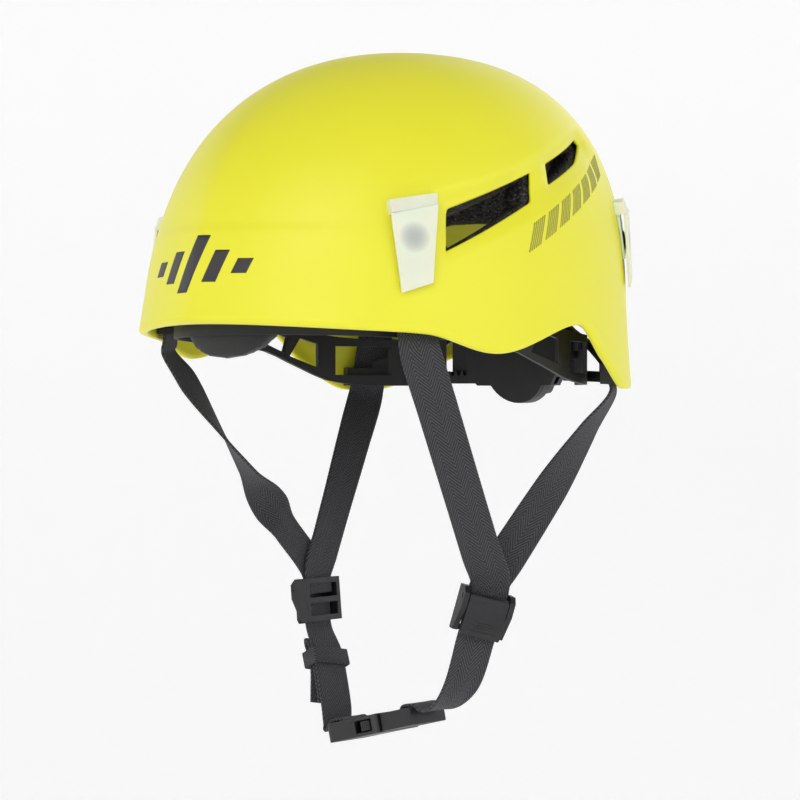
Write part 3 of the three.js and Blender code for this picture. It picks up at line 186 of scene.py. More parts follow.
def math_node(tree, operation, first, second=None):
    """A math node whose two values are numbers or sockets."""
    node = tree.nodes.new("ShaderNodeMath")
    node.operation = operation
    for socket, value in zip(node.inputs, (first, second)):
        if value is None:
            continue
        if isinstance(value, (int, float)):
            socket.default_value = value
        else:
            tree.links.new(value, socket)
    return node.outputs[0]


def texture_node(tree, kind, vector, **values):
    node = tree.nodes.new(kind)
    tree.links.new(vector, node.inputs["Vector"])
    for label, value in values.items():
        socket = node.inputs[label.replace("_", " ")]
        if isinstance(value, (int, float)):
            socket.default_value = value
        else:
            tree.links.new(value, socket)
    return node


# %% Moulded grain
def moulded_grain_group():
    group, start, end = new_group(
        "moulded grain",
        [
            ("Vector", "Vector", None), ("Grain per metre", "Float", 2500.0),
            ("Mottle per metre", "Float", 60.0),
        ],
        [("Height", "Float"), ("Mottle", "Float")],
    )
    vector = start.outputs["Vector"]
    fine, broad = start.outputs["Grain per metre"], start.outputs["Mottle per metre"]
    grain = texture_node(group, "ShaderNodeTexNoise", vector, Scale=fine, Detail=3.0)
    mottle = texture_node(group, "ShaderNodeTexNoise", vector, Scale=broad, Detail=4.0)
    group.links.new(grain.outputs["Fac"], end.inputs["Height"])
    group.links.new(mottle.outputs["Fac"], end.inputs["Mottle"])
    return group


GRAIN = moulded_grain_group()
print(GRAIN.name, "nodes", len(GRAIN.nodes))


# %% Foam beads
def foam_beads_group():
    group, start, end = new_group(
        "foam beads",
        [("Vector", "Vector", None), ("Beads per metre", "Float", 340.0)],
        [("Height", "Float"), ("Shade", "Float")],
    )
    scale = start.outputs["Beads per metre"]
    beads = texture_node(group, "ShaderNodeTexVoronoi", start.outputs["Vector"], Scale=scale)
    apart = texture_node(group, "ShaderNodeTexVoronoi", start.outputs["Vector"], Scale=scale)
    apart.feature = "DISTANCE_TO_EDGE"
    valley = math_node(group, "MINIMUM", math_node(group, "MULTIPLY", apart.outputs["Distance"], 5.0), 1.0)
    dome = math_node(group, "SUBTRACT", 1.0, beads.outputs["Distance"])
    group.links.new(math_node(group, "MULTIPLY", dome, valley), end.inputs["Height"])
    split = group.nodes.new("ShaderNodeSeparateColor")
    group.links.new(beads.outputs["Color"], split.inputs["Color"])
    # each bead's random tone, darkened towards its edges: painted shade in the gaps between the beads
    bead_tone_and_gap_shade = math_node(group, "MULTIPLY", split.outputs["Red"], valley)
    group.links.new(bead_tone_and_gap_shade, end.inputs["Shade"])
    return group


BEADS = foam_beads_group()
print(BEADS.name, "nodes", len(BEADS.nodes))


# %% Herringbone webbing
THREAD_PITCH = 0.00045
TWILL_SHARE, THREAD_SHARE = 0.4, 0.18


def herringbone_group():
    """Zigzag twill on a UV map in metres: U across the strap and V along it."""
    group, start, end = new_group(
        "herringbone",
        [
            ("Vector", "Vector", None), ("Column", "Float", 0.005), ("Twill pitch", "Float", 0.0024),
            ("Steepness", "Float", 1.7),
        ],
        [("Height", "Float"), ("Shade", "Float")],
    )
    split = group.nodes.new("ShaderNodeSeparateXYZ")
    group.links.new(start.outputs["Vector"], split.inputs["Vector"])
    across, along = split.outputs["X"], split.outputs["Y"]
    zigzag = math_node(group, "PINGPONG", across, start.outputs["Column"])
    slanted = math_node(group, "MULTIPLY", zigzag, start.outputs["Steepness"])
    phase = math_node(group, "DIVIDE", math_node(group, "ADD", along, slanted), start.outputs["Twill pitch"])
    ridge = math_node(group, "SINE", math_node(group, "MULTIPLY", phase, 2 * math.pi))
    threads = math_node(group, "SINE", math_node(group, "MULTIPLY", across, 2 * math.pi / THREAD_PITCH))
    rough = math_node(group, "MULTIPLY", math_node(group, "ADD", threads, 1.0), THREAD_SHARE)
    twill = math_node(group, "MULTIPLY", math_node(group, "ADD", ridge, 1.0), TWILL_SHARE)
    height = math_node(group, "ADD", twill, rough)
    group.links.new(height, end.inputs["Height"])
    fuzz = texture_node(group, "ShaderNodeTexNoise", start.outputs["Vector"], Scale=900.0, Detail=2.0)
    # painted light and shade: the colour follows the twill's height, light on ridges and dark in grooves,
    # with a little random fuzz
    shade = math_node(group, "MULTIPLY", height, math_node(group, "ADD", fuzz.outputs["Fac"], 0.5))
    group.links.new(shade, end.inputs["Shade"])
    return group


HERRINGBONE = herringbone_group()
print(HERRINGBONE.name, "nodes", len(HERRINGBONE.nodes))


# %% Knitted laminate
def knit_group():
    group, start, end = new_group(
        "knit",
        [("Vector", "Vector", None), ("Loops per metre", "Float", 900.0)],
        [("Height", "Float"), ("Shade", "Float")],
    )
    loops = texture_node(
        group, "ShaderNodeTexVoronoi", start.outputs["Vector"], Scale=start.outputs["Loops per metre"],
        Randomness=0.25,
    )
    broad = texture_node(group, "ShaderNodeTexNoise", start.outputs["Vector"], Scale=90.0, Detail=3.0)
    height = math_node(group, "SUBTRACT", 1.0, loops.outputs["Distance"])
    group.links.new(height, end.inputs["Height"])
    # the colour: painted shade between the loops and painted light on their tops, times a broad random tone
    group.links.new(math_node(group, "MULTIPLY", height, broad.outputs["Fac"]), end.inputs["Shade"])
    return group


KNIT = knit_group()
print(KNIT.name, "nodes", len(KNIT.nodes))


# %% Soft spot
def spot_group():
    """A soft round mask about a point."""
    group, start, end = new_group(
        "soft spot",
        [("Vector", "Vector", None), ("Centre", "Vector", None), ("Radius", "Float", 0.0085)],
        [("Mask", "Float")],
    )
    apart = group.nodes.new("ShaderNodeVectorMath")
    apart.operation = "DISTANCE"
    group.links.new(start.outputs["Vector"], apart.inputs[0])
    group.links.new(start.outputs["Centre"], apart.inputs[1])
    share = math_node(group, "DIVIDE", apart.outputs["Value"], start.outputs["Radius"])
    fade = math_node(group, "SUBTRACT", 1.0, share)
    bounded = math_node(group, "MAXIMUM", fade, 0.0)
    rounded_off = math_node(group, "SMOOTH_MIN", bounded, 0.5)
    group.links.new(math_node(group, "MULTIPLY", rounded_off, 1.7), end.inputs["Mask"])
    return group


SPOT = spot_group()
print(SPOT.name, "nodes", len(SPOT.nodes))

# %% [markdown]
# ## Finishes
# Every finish is a Principled shader. Its colour is mixed between two close tones by the group's
# mask, and its relief comes from the group's height through a Bump node. The distances are real:
# grain of a few hundredths of a millimetre on the shell, beads of three millimetres in the foam
# and twill of about one millimetre on the webbing.

# %% Finish builder
def finish(name, group, vector, tones, roughness, relief, shade="Shade", settings=None, **inputs):
    """A Principled material with two tones, a roughness range and a relief height in metres."""
    material = bpy.data.materials.new(name)
    material.use_nodes = True
    tree = material.node_tree
    shader = tree.nodes["Principled BSDF"]
    place = tree.nodes.new("ShaderNodeTexCoord" if vector == "Object" else "ShaderNodeUVMap")
    if vector != "Object":
        place.uv_map = vector
    effect = tree.nodes.new("ShaderNodeGroup")
    effect.node_tree = group
    tree.links.new(place.outputs["Object" if vector == "Object" else "UV"], effect.inputs["Vector"])
    for label, value in inputs.items():
        effect.inputs[label.replace("_", " ")].default_value = value
    mix = tree.nodes.new("ShaderNodeMix")
    mix.data_type = "RGBA"
    mix.inputs["A"].default_value = (*tones[0], 1)
    mix.inputs["B"].default_value = (*tones[1], 1)
    tree.links.new(effect.outputs[shade], mix.inputs["Factor"])
    tree.links.new(mix.outputs["Result"], shader.inputs["Base Color"])
    spread = tree.nodes.new("ShaderNodeMapRange")
    spread.inputs["To Min"].default_value, spread.inputs["To Max"].default_value = roughness
    tree.links.new(effect.outputs[shade], spread.inputs["Value"])
    tree.links.new(spread.outputs["Result"], shader.inputs["Roughness"])
    bump = tree.nodes.new("ShaderNodeBump")
    bump.inputs["Strength"].default_value = 1.0
    bump.inputs["Distance"].default_value = relief
    tree.links.new(effect.outputs["Height"], bump.inputs["Height"])
    tree.links.new(bump.outputs["Normal"], shader.inputs["Normal"])
    for label, value in (settings or {}).items():
        shader.inputs[label].default_value = value
    return material


# %% Finishes of the shell, foam and pads
SHELL_FINISH = finish(
    "satin yellow shell", GRAIN, "Object", [(0.83, 0.79, 0.018), (0.88, 0.85, 0.03)], (0.36, 0.46), 0.00002,
    shade="Mottle", Grain_per_metre=1400.0, Mottle_per_metre=9.0,
    settings={"Specular IOR Level": 0.5, "Coat Weight": 0.08, "Coat Roughness": 0.35},
)
PRINT_FINISH = finish(
    "charcoal print", GRAIN, "Object", [(0.028, 0.024, 0.026), (0.045, 0.04, 0.042)], (0.4, 0.5), 0.00001,
    shade="Mottle", Grain_per_metre=1800.0, Mottle_per_metre=30.0,
)
HATCH_FINISH = finish(
    "olive print", GRAIN, "Object", [(0.33, 0.32, 0.03), (0.37, 0.36, 0.04)], (0.42, 0.52), 0.00001,
    shade="Mottle", Grain_per_metre=1800.0, Mottle_per_metre=30.0,
)
# Foam colour: a random tone for each bead, with painted shade in the gaps between the beads.
FOAM_FINISH = finish(
    "black bead foam", BEADS, "Object", [(0.006, 0.006, 0.005), (0.075, 0.072, 0.066)], (0.4, 0.85), 0.0007,
    Beads_per_metre=520.0,
)
# Pad colour: painted shade between the knit loops and painted light on their tops, with a broad random tone.
PAD_FINISH = finish(
    "knitted pad", KNIT, "Object", [(0.004, 0.004, 0.005), (0.018, 0.018, 0.02)], (0.5, 0.75), 0.00012,
    Loops_per_metre=1300.0, settings={"Sheen Weight": 0.15, "Sheen Roughness": 0.5},
)
print("shell, prints, foam and pad", len(bpy.data.materials))

# %% Finishes of plastic, webbing and steel
PLASTIC_FINISH = finish(
    "black moulded plastic", GRAIN, "Object", [(0.006, 0.006, 0.0075), (0.011, 0.011, 0.013)], (0.36, 0.5),
    0.00006, shade="Mottle", Grain_per_metre=1600.0, Mottle_per_metre=70.0,
)
BAND_FINISH = finish(
    "soft black band", GRAIN, "Object", [(0.008, 0.008, 0.01), (0.014, 0.014, 0.0165)], (0.46, 0.6),
    0.00008, shade="Mottle", Grain_per_metre=1200.0, Mottle_per_metre=50.0,
)
# Webbing colour: the dark tone is painted shade in the twill's grooves, the light tone painted light on its
# ridges.
WEBBING_FINISH = finish(
    "herringbone webbing", HERRINGBONE, "webbing", [(0.0015, 0.0015, 0.0018), (0.085, 0.085, 0.095)],
    (0.6, 0.9), 0.0003, settings={"Sheen Weight": 0.12, "Sheen Roughness": 0.4, "Specular IOR Level": 0.3},
)
# Thread colour: painted shade between the knit loops and painted light on their tops, with a broad random
# tone.
THREAD_FINISH = finish(
    "bonded thread", KNIT, "Object", [(0.02, 0.02, 0.023), (0.05, 0.05, 0.055)], (0.5, 0.7), 0.00005,
    Loops_per_metre=4000.0, settings={"Sheen Weight": 0.2},
)
STEEL_FINISH = finish(
    "plated steel", GRAIN, "Object", [(0.42, 0.43, 0.45), (0.52, 0.53, 0.55)], (0.26, 0.4), 0.00003,
    shade="Mottle", Grain_per_metre=900.0, Mottle_per_metre=200.0, settings={"Metallic": 1.0},
)
BLACK_STEEL_FINISH = finish(
    "blackened steel", GRAIN, "Object", [(0.02, 0.02, 0.022), (0.035, 0.035, 0.038)], (0.3, 0.45), 0.00003,
    shade="Mottle", Grain_per_metre=900.0, Mottle_per_metre=200.0, settings={"Metallic": 0.6},
)
print("materials", len(bpy.data.materials))

# %% [markdown]
# ## Milky clips
# The headlamp clips are moulded from frosted plastic, and the rivet behind each one shows through
# as a soft grey-blue spot. The spot is a mask about the point of the clip's face that lies straight
# out from the rivet, so it stays on the clip from every side.

# %% Clip finishes
def milky_clip(name, rivet):
    """Frosted plastic whose rivet shows through as a soft grey-blue spot."""
    material = finish(
        name, GRAIN, "Object", [(0.86, 0.87, 0.68), (0.93, 0.94, 0.78)], (0.32, 0.44), 0.00003,
        shade="Mottle", Grain_per_metre=1500.0, Mottle_per_metre=60.0,
        settings={
            "Subsurface Weight": 0.5, "Subsurface Scale": 0.003, "Transmission Weight": 0.08, "IOR": 1.48,
        },
    )
    tree = material.node_tree
    place = tree.nodes.new("ShaderNodeTexCoord")
    spot = tree.nodes.new("ShaderNodeGroup")
    spot.node_tree = SPOT
    spot.inputs["Centre"].default_value = rivet
    tree.links.new(place.outputs["Object"], spot.inputs["Vector"])
    mix = tree.nodes.new("ShaderNodeMix")
    mix.data_type = "RGBA"
    shader = tree.nodes["Principled BSDF"]
    tree.links.new(shader.inputs["Base Color"].links[0].from_socket, mix.inputs["A"])
    mix.inputs["B"].default_value = (0.42, 0.46, 0.47, 1)
    tree.links.new(spot.outputs["Mask"], mix.inputs["Factor"])
    tree.links.new(mix.outputs["Result"], shader.inputs["Base Color"])
    return material


def middle_of(node):
    low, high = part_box(node)
    return (low + high) / 2


def rivet_place(corner):
    """The point on the clip's face that lies straight out from the rivet."""
    rivet = middle_of("clip_rivet_" + corner)
    way = (rivet - middle_of("rivet_washer_" + corner)).normalized()
    return tuple(rivet + way * (middle_of("clip_tongue_" + corner) - rivet).dot(way))


CLIP_FINISHES = {c: milky_clip("milky clip " + c.replace("_", " "), rivet_place(c)) for c in CORNERS}
print("clip finishes", len(CLIP_FINISHES))

# %% [markdown]
# ## Mesh helper
# Pieces built here are plain vertex and face lists. This helper makes the object at the origin.
# Where the piece stands for a node, it takes that node's body and hides the node, which
# stays in the frame for the physics.

# %% Object from points and faces
def add_piece(name, points, faces, material, node=None):
    mesh = bpy.data.meshes.new(name)
    mesh.from_pydata([tuple(p) for p in points], [], [tuple(f) for f in faces])
    mesh.polygons.foreach_set("use_smooth", [True] * len(mesh.polygons))
    mesh.materials.append(material)
    mesh.update()
    piece = bpy.data.objects.new(name, mesh)
    bpy.context.collection.objects.link(piece)
    if node is not None:
        settle(piece, node)
    return piece


def settle(piece, node):
    """Lets a finished piece stand for a node, on the node's body."""
    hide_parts(node)
    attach(piece, body_of_node[node])


print("slots", sorted(set(slot_of_node.values())))

# %% [markdown]
# ## The dome
# The shell, the liner and the harness all follow one dome: an oval whose section shrinks as it
# rises and whose middle moves back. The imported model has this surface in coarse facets. Here the
# same rule gives a fine grid, with a soft keel at the front, a brow step and the ledge over the
# vents added as small shifts along the surface's normal. Lengths are in millimetres until the end.

# %% Dome rule
HALF_WIDTH, HALF_LENGTH, TOP, WALL = 111.5, 139.0, 179.5, 2.6
BASE, SIDE_POWER, CROWN_POWER = 4.0, 3.05, 2.34
SETBACK, SETBACK_POWER = 19.0, 1.42
FLARE, FLARE_START, FLARE_POWER = 4.5, 52.0, 1.4
RIM = np.array([
    (0, 37), (45, 33.4), (57, 31.8), (73, 23), (98, 38), (108, 21.5),
    (121, 6.8), (127, 6.8), (148, 24.6), (157, 29.5), (172, 43.5), (180, 46),
])


def smooth_table(table, x):
    """A curve through the table's points that never overshoots them."""
    span, rise = np.diff(table[:, 0]), np.diff(table[:, 1])
    slope = rise / span
    safe = np.where(slope[:-1] + slope[1:] == 0, 1, slope[:-1] + slope[1:])
    inner = np.where(slope[:-1] * slope[1:] <= 0, 0, 2 * slope[:-1] * slope[1:] / safe)
    tangent = np.concatenate([[0], inner, [0]])
    i = np.clip(np.searchsorted(table[:, 0], x) - 1, 0, len(span) - 1)
    t = (x - table[i, 0]) / span[i]
    s = 1 - t
    return (table[i, 1] * s * s * (1 + 2 * t) + table[i + 1, 1] * t * t * (1 + 2 * s)
            + tangent[i] * span[i] * t * s * s - tangent[i + 1] * span[i] * s * t * t)


def dome_scale(z):
    rise = np.clip((z - BASE) / (TOP - BASE), 0, 1)
    shrink = np.maximum(1 - rise ** SIDE_POWER, 0) ** (1 / CROWN_POWER)
    flare = FLARE * np.maximum((FLARE_START - z) / FLARE_START, 0) ** FLARE_POWER
    return shrink, flare, SETBACK * rise ** SETBACK_POWER


def dome(angle, z):
    shrink, flare, shift = dome_scale(z)
    turn = np.radians(angle)
    x = (HALF_WIDTH * shrink + flare) * np.sin(turn)
    y = shift - (HALF_LENGTH * shrink + flare) * np.cos(turn)
    return np.stack([x, y, z + 0 * turn], axis=-1)


def dome_normal(angle, z):
    step = np.minimum(0.5, (TOP - z) / 2)
    around = dome(angle + 0.5, z) - dome(angle - 0.5, z)
    upward = dome(angle, z + step) - dome(angle, z - step)
    normal = np.cross(around, upward)
    return normal / np.linalg.norm(normal, axis=-1, keepdims=True)


def near_dome(angle, z, offset):
    return dome(angle, z) + dome_normal(angle, z) * np.asarray(offset)[..., None]


def angle_at(side, y, z):
    """The angle of the dome's point with this y and z, on one side."""
    shrink, flare, shift = dome_scale(z)
    return side * np.degrees(np.arccos(np.clip((shift - y) / (HALF_LENGTH * shrink + flare), -1, 1)))


def smooth_step(low, high, value):
    t = np.clip((value - low) / (high - low), 0, 1)
    return t * t * (3 - 2 * t)


print("dome at the brow", dome(np.array([0.0]), np.array([60.0])).round(1))

# %% [markdown]
# ## Relief of the shell
# Three soft features catch the light on this shell. A keel runs up the middle of the forehead. A
# faint step crosses the brow above it. On each side a ledge rises from the front clip over both
# vents, and the wall below it stands back, so the vents lie in a shallow recess.

# %% Rounded outlines
FRONT_VENT = [(-62, 69.7), (-8.4, 96.1), (-2, 112.9), (-56, 92.3)]
REAR_VENT = [(10.6, 106.5), (43.2, 121.2), (61.3, 132.6), (56.7, 135.8), (13.9, 119.2)]


def rounded(outline, radius, steps=7):
    """The outline with each corner replaced by a short curve."""
    corners = [np.array(c, float) for c in outline]
    points = []
    for i, corner in enumerate(corners):
        before, after = corners[i - 1] - corner, corners[(i + 1) % len(corners)] - corner
        reach = min(radius, np.linalg.norm(before) * 0.45, np.linalg.norm(after) * 0.45)
        first = corner + before / np.linalg.norm(before) * reach
        last = corner + after / np.linalg.norm(after) * reach
        for t in np.linspace(0, 1, steps):
            points.append(first * (1 - t) ** 2 + corner * 2 * t * (1 - t) + last * t * t)
    return np.array(points)


def outline_distance(points, outline):
    """Signed distance to the outline (inside is negative) and its nearest point."""
    start, end = outline, np.roll(outline, -1, axis=0)
    edge = end - start
    t = ((points[:, None] - start) * edge).sum(-1) / np.maximum((edge ** 2).sum(-1), 1e-9)
    nearest = start + np.clip(t, 0, 1)[..., None] * edge
    distance = np.linalg.norm(points[:, None] - nearest, axis=-1)
    best = distance.argmin(axis=1)
    rows = np.arange(len(points))
    y, z = points[:, 0, None], points[:, 1, None]
    crosses = (start[:, 1] > z) != (end[:, 1] > z)
    height = np.where(edge[:, 1] == 0, 1, edge[:, 1])
    inside = (crosses & (y < start[:, 0] + (z - start[:, 1]) / height * edge[:, 0])).sum(axis=1) % 2 == 1
    return np.where(inside, -1, 1) * distance[rows, best], nearest[rows, best]


def grown(outline, distance):
    """The outline with its corners moved straight out from the middle."""
    middle = np.mean(outline, axis=0)
    arms = np.array(outline) - middle
    length = np.linalg.norm(arms, axis=1, keepdims=True)
    return middle + arms * (length + distance) / length


SHELL_VENTS = [rounded(grown(FRONT_VENT, 1.6), 2.6), rounded(grown(REAR_VENT, 1.6), 2.4)]
print("points in each vent's outline", [len(v) for v in SHELL_VENTS])

# %% Shell relief
KEEL_HEIGHT, KEEL_REACH, KEEL_ROUND = 4.2, 30.0, 3.0
BROW_STEP, BROW_STEP_Z = 0.7, 80.0
RECESS_DEPTH, RECESS_REACH = 2.8, 30.0
BORDER_DEPTH, BORDER_WIDTH = 0.9, 5.0
VENT_SPAN = 60.0
LEDGE = np.array([
    (-78, 95), (-54, 100.6), (-31.8, 106.6), (3.7, 120.4), (30, 130.5), (56, 138.8), (84, 142),
])


def shell_relief(angle, z):
    x, y, _ = np.moveaxis(dome(angle, z), -1, 0)
    front = smooth_step(-20, -60, y)
    ridge = np.exp(-(np.hypot(x, KEEL_ROUND) - KEEL_ROUND) / KEEL_REACH)
    keel = KEEL_HEIGHT * ridge * front * smooth_step(165, 95, z)
    brow = BROW_STEP * smooth_step(BROW_STEP_Z + 3, BROW_STEP_Z - 1, z) * front
    brow = brow * smooth_step(48, 25, abs(angle))
    ledge = np.interp(y, LEDGE[:, 0], LEDGE[:, 1])
    below = ledge - z
    recess = smooth_step(-1.0, 5.0, below) * smooth_step(RECESS_REACH, 12, below)
    along = smooth_step(-67, -59, y) * smooth_step(76, 58, y)
    border = 0 * z
    place = np.stack([np.ravel(y), np.ravel(z + 0 * y)], axis=1)
    for vent in SHELL_VENTS:
        close = abs(place - vent.mean(axis=0)).max(axis=1) < VENT_SPAN - 10
        near = np.flatnonzero(close & (abs(np.ravel(x)) > 30))
        distance, _ = outline_distance(place[near], vent)
        np.ravel(border)[near] = smooth_step(BORDER_WIDTH, 0, distance)
    return keel + brow - RECESS_DEPTH * recess * along - BORDER_DEPTH * border


print("relief at the keel, mm", shell_relief(np.array([0.0]), np.array([70.0])).round(2))

# %% [markdown]
# ## A wall with vents
# A grid of columns and rows covers the dome. Faces inside a vent's outline are dropped, the edge
# points that are left slide onto the rounded outline, and their neighbours are eased along with
# them. A second copy of the grid makes the inner face, and every open edge, at the rim and in the
# vents, is closed with a rounded nose. This needs no boolean, so the shading stays smooth.

# %% Grid, vents and easing
NOSE_STEPS = 4
SNAP_REACH, EASE_REACH, EASE_ROUNDS = 4, 7, 8


def half_edges(quads):
    """Directed edges that only one face uses."""
    edges = np.concatenate([quads[:, [k, (k + 1) % 4]] for k in range(4)])
    key = np.sort(edges, axis=1)
    _, first, counts = np.unique(key, axis=0, return_index=True, return_counts=True)
    return edges[first[counts == 1]]


def wall_grid(columns, rows):
    """Four-sided faces between the rows, closed all the way round."""
    quads = []
    for i in range(rows - 1):
        a = i * columns + np.arange(columns)
        b = i * columns + (np.arange(columns) + 1) % columns
        quads.append(np.stack([a, b, b + columns, a + columns], axis=1))
    return np.concatenate(quads)


def outside_vents(quads, flat, beside, vents):
    """The faces whose middles lie outside every vent."""
    keep = np.ones(len(quads), bool)
    middle = flat[quads].mean(axis=1)
    for vent in vents:
        near = beside[quads].all(axis=1) & (abs(middle - vent.mean(axis=0)).max(axis=1) < VENT_SPAN)
        distance, _ = outline_distance(middle[near], vent)
        keep[np.flatnonzero(near)[distance < 0]] = False
    return quads[keep]


def ease_onto_vents(flat, hole, beside, vents, columns):
    """Slides the edge points onto the outlines and eases their neighbours; returns what moved."""
    free = np.zeros(len(flat), bool)
    for vent in vents:
        distance, nearest = outline_distance(flat[hole], vent)
        close = abs(distance) < SNAP_REACH
        flat[hole[close]] = nearest[close]
        band = beside & (abs(flat - vent.mean(axis=0)).max(axis=1) < VENT_SPAN)
        reach, _ = outline_distance(flat[band], vent)
        free[np.flatnonzero(band)[abs(reach) < EASE_REACH]] = True
    free[hole] = False
    free[:columns] = False
    index = np.flatnonzero(free)
    row_start = (index // columns) * columns
    ring = [
        index - columns, index + columns,
        row_start + (index + 1) % columns, row_start + (index - 1) % columns,
    ]
    for _ in range(EASE_ROUNDS):
        flat[index] = 0.5 * flat[index] + 0.5 * sum(flat[n] for n in ring) / 4
    return np.concatenate([index, hole])


print("faces in a grid of 5 by 3", len(wall_grid(5, 3)))


# %% Dome wall builder
def dome_wall(columns, rows, bottom, outer, inner, vents, nose):
    """Points and faces of a wall on the dome between two offsets, open at the bottom and vents."""
    turns = np.arange(columns) / columns * 360 - 180
    low = bottom(turns)
    share = np.sin(np.arange(rows) / rows * np.pi / 2)[:, None]
    z = (low + (TOP - low) * share).ravel()
    angle = np.tile(turns, rows)
    place = dome(angle, z)
    side = np.sign(place[:, 0]) + (place[:, 0] == 0)
    flat = place[:, 1:].copy()
    beside = abs(place[:, 0]) > HALF_WIDTH / 3
    quads = outside_vents(wall_grid(columns, rows), flat, beside, vents)
    ends = half_edges(quads)
    edge_points = np.unique(ends)
    crown_start = (rows - 1) * columns
    hole = edge_points[(edge_points >= columns) & (edge_points < crown_start)]
    moved = ease_onto_vents(flat, hole, beside, vents, columns)
    z[moved] = flat[moved, 1]
    angle[moved] = angle_at(side[moved], flat[moved, 0], z[moved])
    crown = len(z)
    lift = outer(angle, z)
    depth = inner(angle, z, np.interp(angle, turns, low, period=360))
    outside = np.vstack([near_dome(angle, z, lift), [0, SETBACK, TOP + lift[-1]]])
    inside = np.vstack([near_dome(angle, z, depth), [0, SETBACK, TOP + depth[-1]]])
    last = crown_start + np.arange(columns)
    fan = np.stack([last, np.roll(last, -1), np.full(columns, crown)], axis=1)
    count = crown + 1
    faces = [*quads.tolist(), *fan.tolist()]
    faces += [(np.array(f)[::-1] + count).tolist() for f in faces]
    normal = np.vstack([dome_normal(angle, z), [0, 0, 1]])
    return close_edges(outside, inside, faces, ends, normal, nose, count, last)


def close_edges(outside, inside, faces, ends, normal, nose, count, crown_ring):
    """Joins the outer and inner faces by a rounded nose along every open edge."""
    top = set(crown_ring.tolist())
    ends = np.array([e for e in ends if not (e[0] in top and e[1] in top)])
    away = np.zeros_like(outside)
    tangent = outside[ends[:, 1]] - outside[ends[:, 0]]
    for k in (0, 1):
        np.add.at(away, ends[:, k], np.cross(tangent, normal[ends[:, k]]))
    edge = np.unique(ends)
    length = np.linalg.norm(away[edge], axis=1, keepdims=True)
    away[edge] /= np.maximum(length, 1e-9)
    number = {}
    points = [outside, inside]
    total = 2 * count
    for step in range(1, NOSE_STEPS):
        turn = math.pi * step / NOSE_STEPS
        share = (1 - math.cos(turn)) / 2
        ring = outside[edge] * (1 - share) + inside[edge] * share + away[edge] * nose * math.sin(turn)
        points.append(ring)
        number[step] = dict(zip(edge.tolist(), range(total, total + len(edge))))
        total += len(edge)
    number[0] = {e: e for e in edge.tolist()}
    number[NOSE_STEPS] = {e: e + count for e in edge.tolist()}
    for a, b in ends.tolist():
        for step in range(NOSE_STEPS):
            upper, lower = number[step], number[step + 1]
            faces.append([upper[b], upper[a], lower[a], lower[b]])
    return np.vstack(points) * MM, faces


# %% Hard shell
SHELL_COLUMNS, SHELL_ROWS = 372, 108
RIM_BEAD, RIM_BEAD_HEIGHT, SHELL_NOSE = 1.2, 7.0, 0.9


def rim_height(angle):
    return smooth_table(RIM, abs(angle))


def shell_inside(angle, z, low):
    bead = RIM_BEAD * np.clip(1 - (z - low) / RIM_BEAD_HEIGHT, 0, 1)
    return np.minimum(shell_relief(angle, z), 0) * 0.8 - WALL - bead


points, faces = dome_wall(
    SHELL_COLUMNS, SHELL_ROWS, rim_height, shell_relief, shell_inside, SHELL_VENTS, SHELL_NOSE,
)
add_piece("hard_shell", points, faces, SHELL_FINISH, "outer_shell")
print("hard shell faces", len(faces))

# %% [markdown]
# ## Foam liner
# The liner is moulded from black beads and shows through the vents and under the rim. It is the
# same kind of wall, eighteen millimetres thick, with vents a little smaller than the shell's and
# shallow channels on its inside that let air run over the head.

# %% Foam liner
LINER_COLUMNS, LINER_ROWS, LINER_NOSE = 240, 60, 1.6
LINER_GAP, LINER_THICKNESS, LINER_LIP = 0.8, 18.0, 0.9
LINER_SIDE_BOTTOM, LINER_REAR_BOTTOM = 66.0, 104.0
CHANNEL_DEPTH, CHANNEL_WIDTH = 3.0, 7.0


def liner_bottom(angle):
    back = smooth_step(118, 148, abs(angle))
    brow = np.clip((50 - abs(angle)) / 30, 0, 1)
    return LINER_SIDE_BOTTOM + (LINER_REAR_BOTTOM - LINER_SIDE_BOTTOM) * back + 6 * brow


def liner_outside(angle, z):
    return np.minimum(shell_relief(angle, z), 0) - WALL - LINER_GAP


def liner_inside(angle, z, low):
    place = dome(angle, z)
    middle = np.exp(-(place[:, 0] / CHANNEL_WIDTH) ** 2)
    sides = np.exp(-((abs(place[:, 0]) - 42) / CHANNEL_WIDTH) ** 2)
    channels = CHANNEL_DEPTH * np.maximum(middle, sides) * smooth_step(TOP - 4, TOP - 26, z)
    return channels - WALL - LINER_GAP - LINER_THICKNESS


liner_vents = [rounded(grown(v, 0.3 - LINER_LIP), 2.4) for v in (FRONT_VENT, REAR_VENT)]
points, faces = dome_wall(
    LINER_COLUMNS, LINER_ROWS, liner_bottom, liner_outside, liner_inside, liner_vents, LINER_NOSE,
)
add_piece("bead_foam_liner", points, faces, FOAM_FINISH, "foam_liner")
print("liner faces", len(faces))

# %% [markdown]
# ## Printed marks
# A plain group of slanted bars is printed at the brow, and a long hatch of fine lines rises along
# each side. Both are thin skins that follow the shell's own surface, a few hundredths of a
# millimetre proud, so they bend with every curve of it.

# %% Printed skins
PRINT_LIFT, PRINT_SINK = 0.09, 0.05


def shell_skin(corners, across, up, offset):
    """A grid of points over a four-cornered patch of (angle, z), at an offset from the shell."""
    a, b, c, d = [np.array(p, float) for p in corners]
    u, v = np.meshgrid(np.linspace(0, 1, across + 1), np.linspace(0, 1, up + 1))
    u, v = u[..., None], v[..., None]
    flat = a * (1 - u) * (1 - v) + b * u * (1 - v) + c * u * v + d * (1 - u) * v
    angle, z = flat[..., 0].ravel(), flat[..., 1].ravel()
    return near_dome(angle, z, shell_relief(angle, z) + offset)


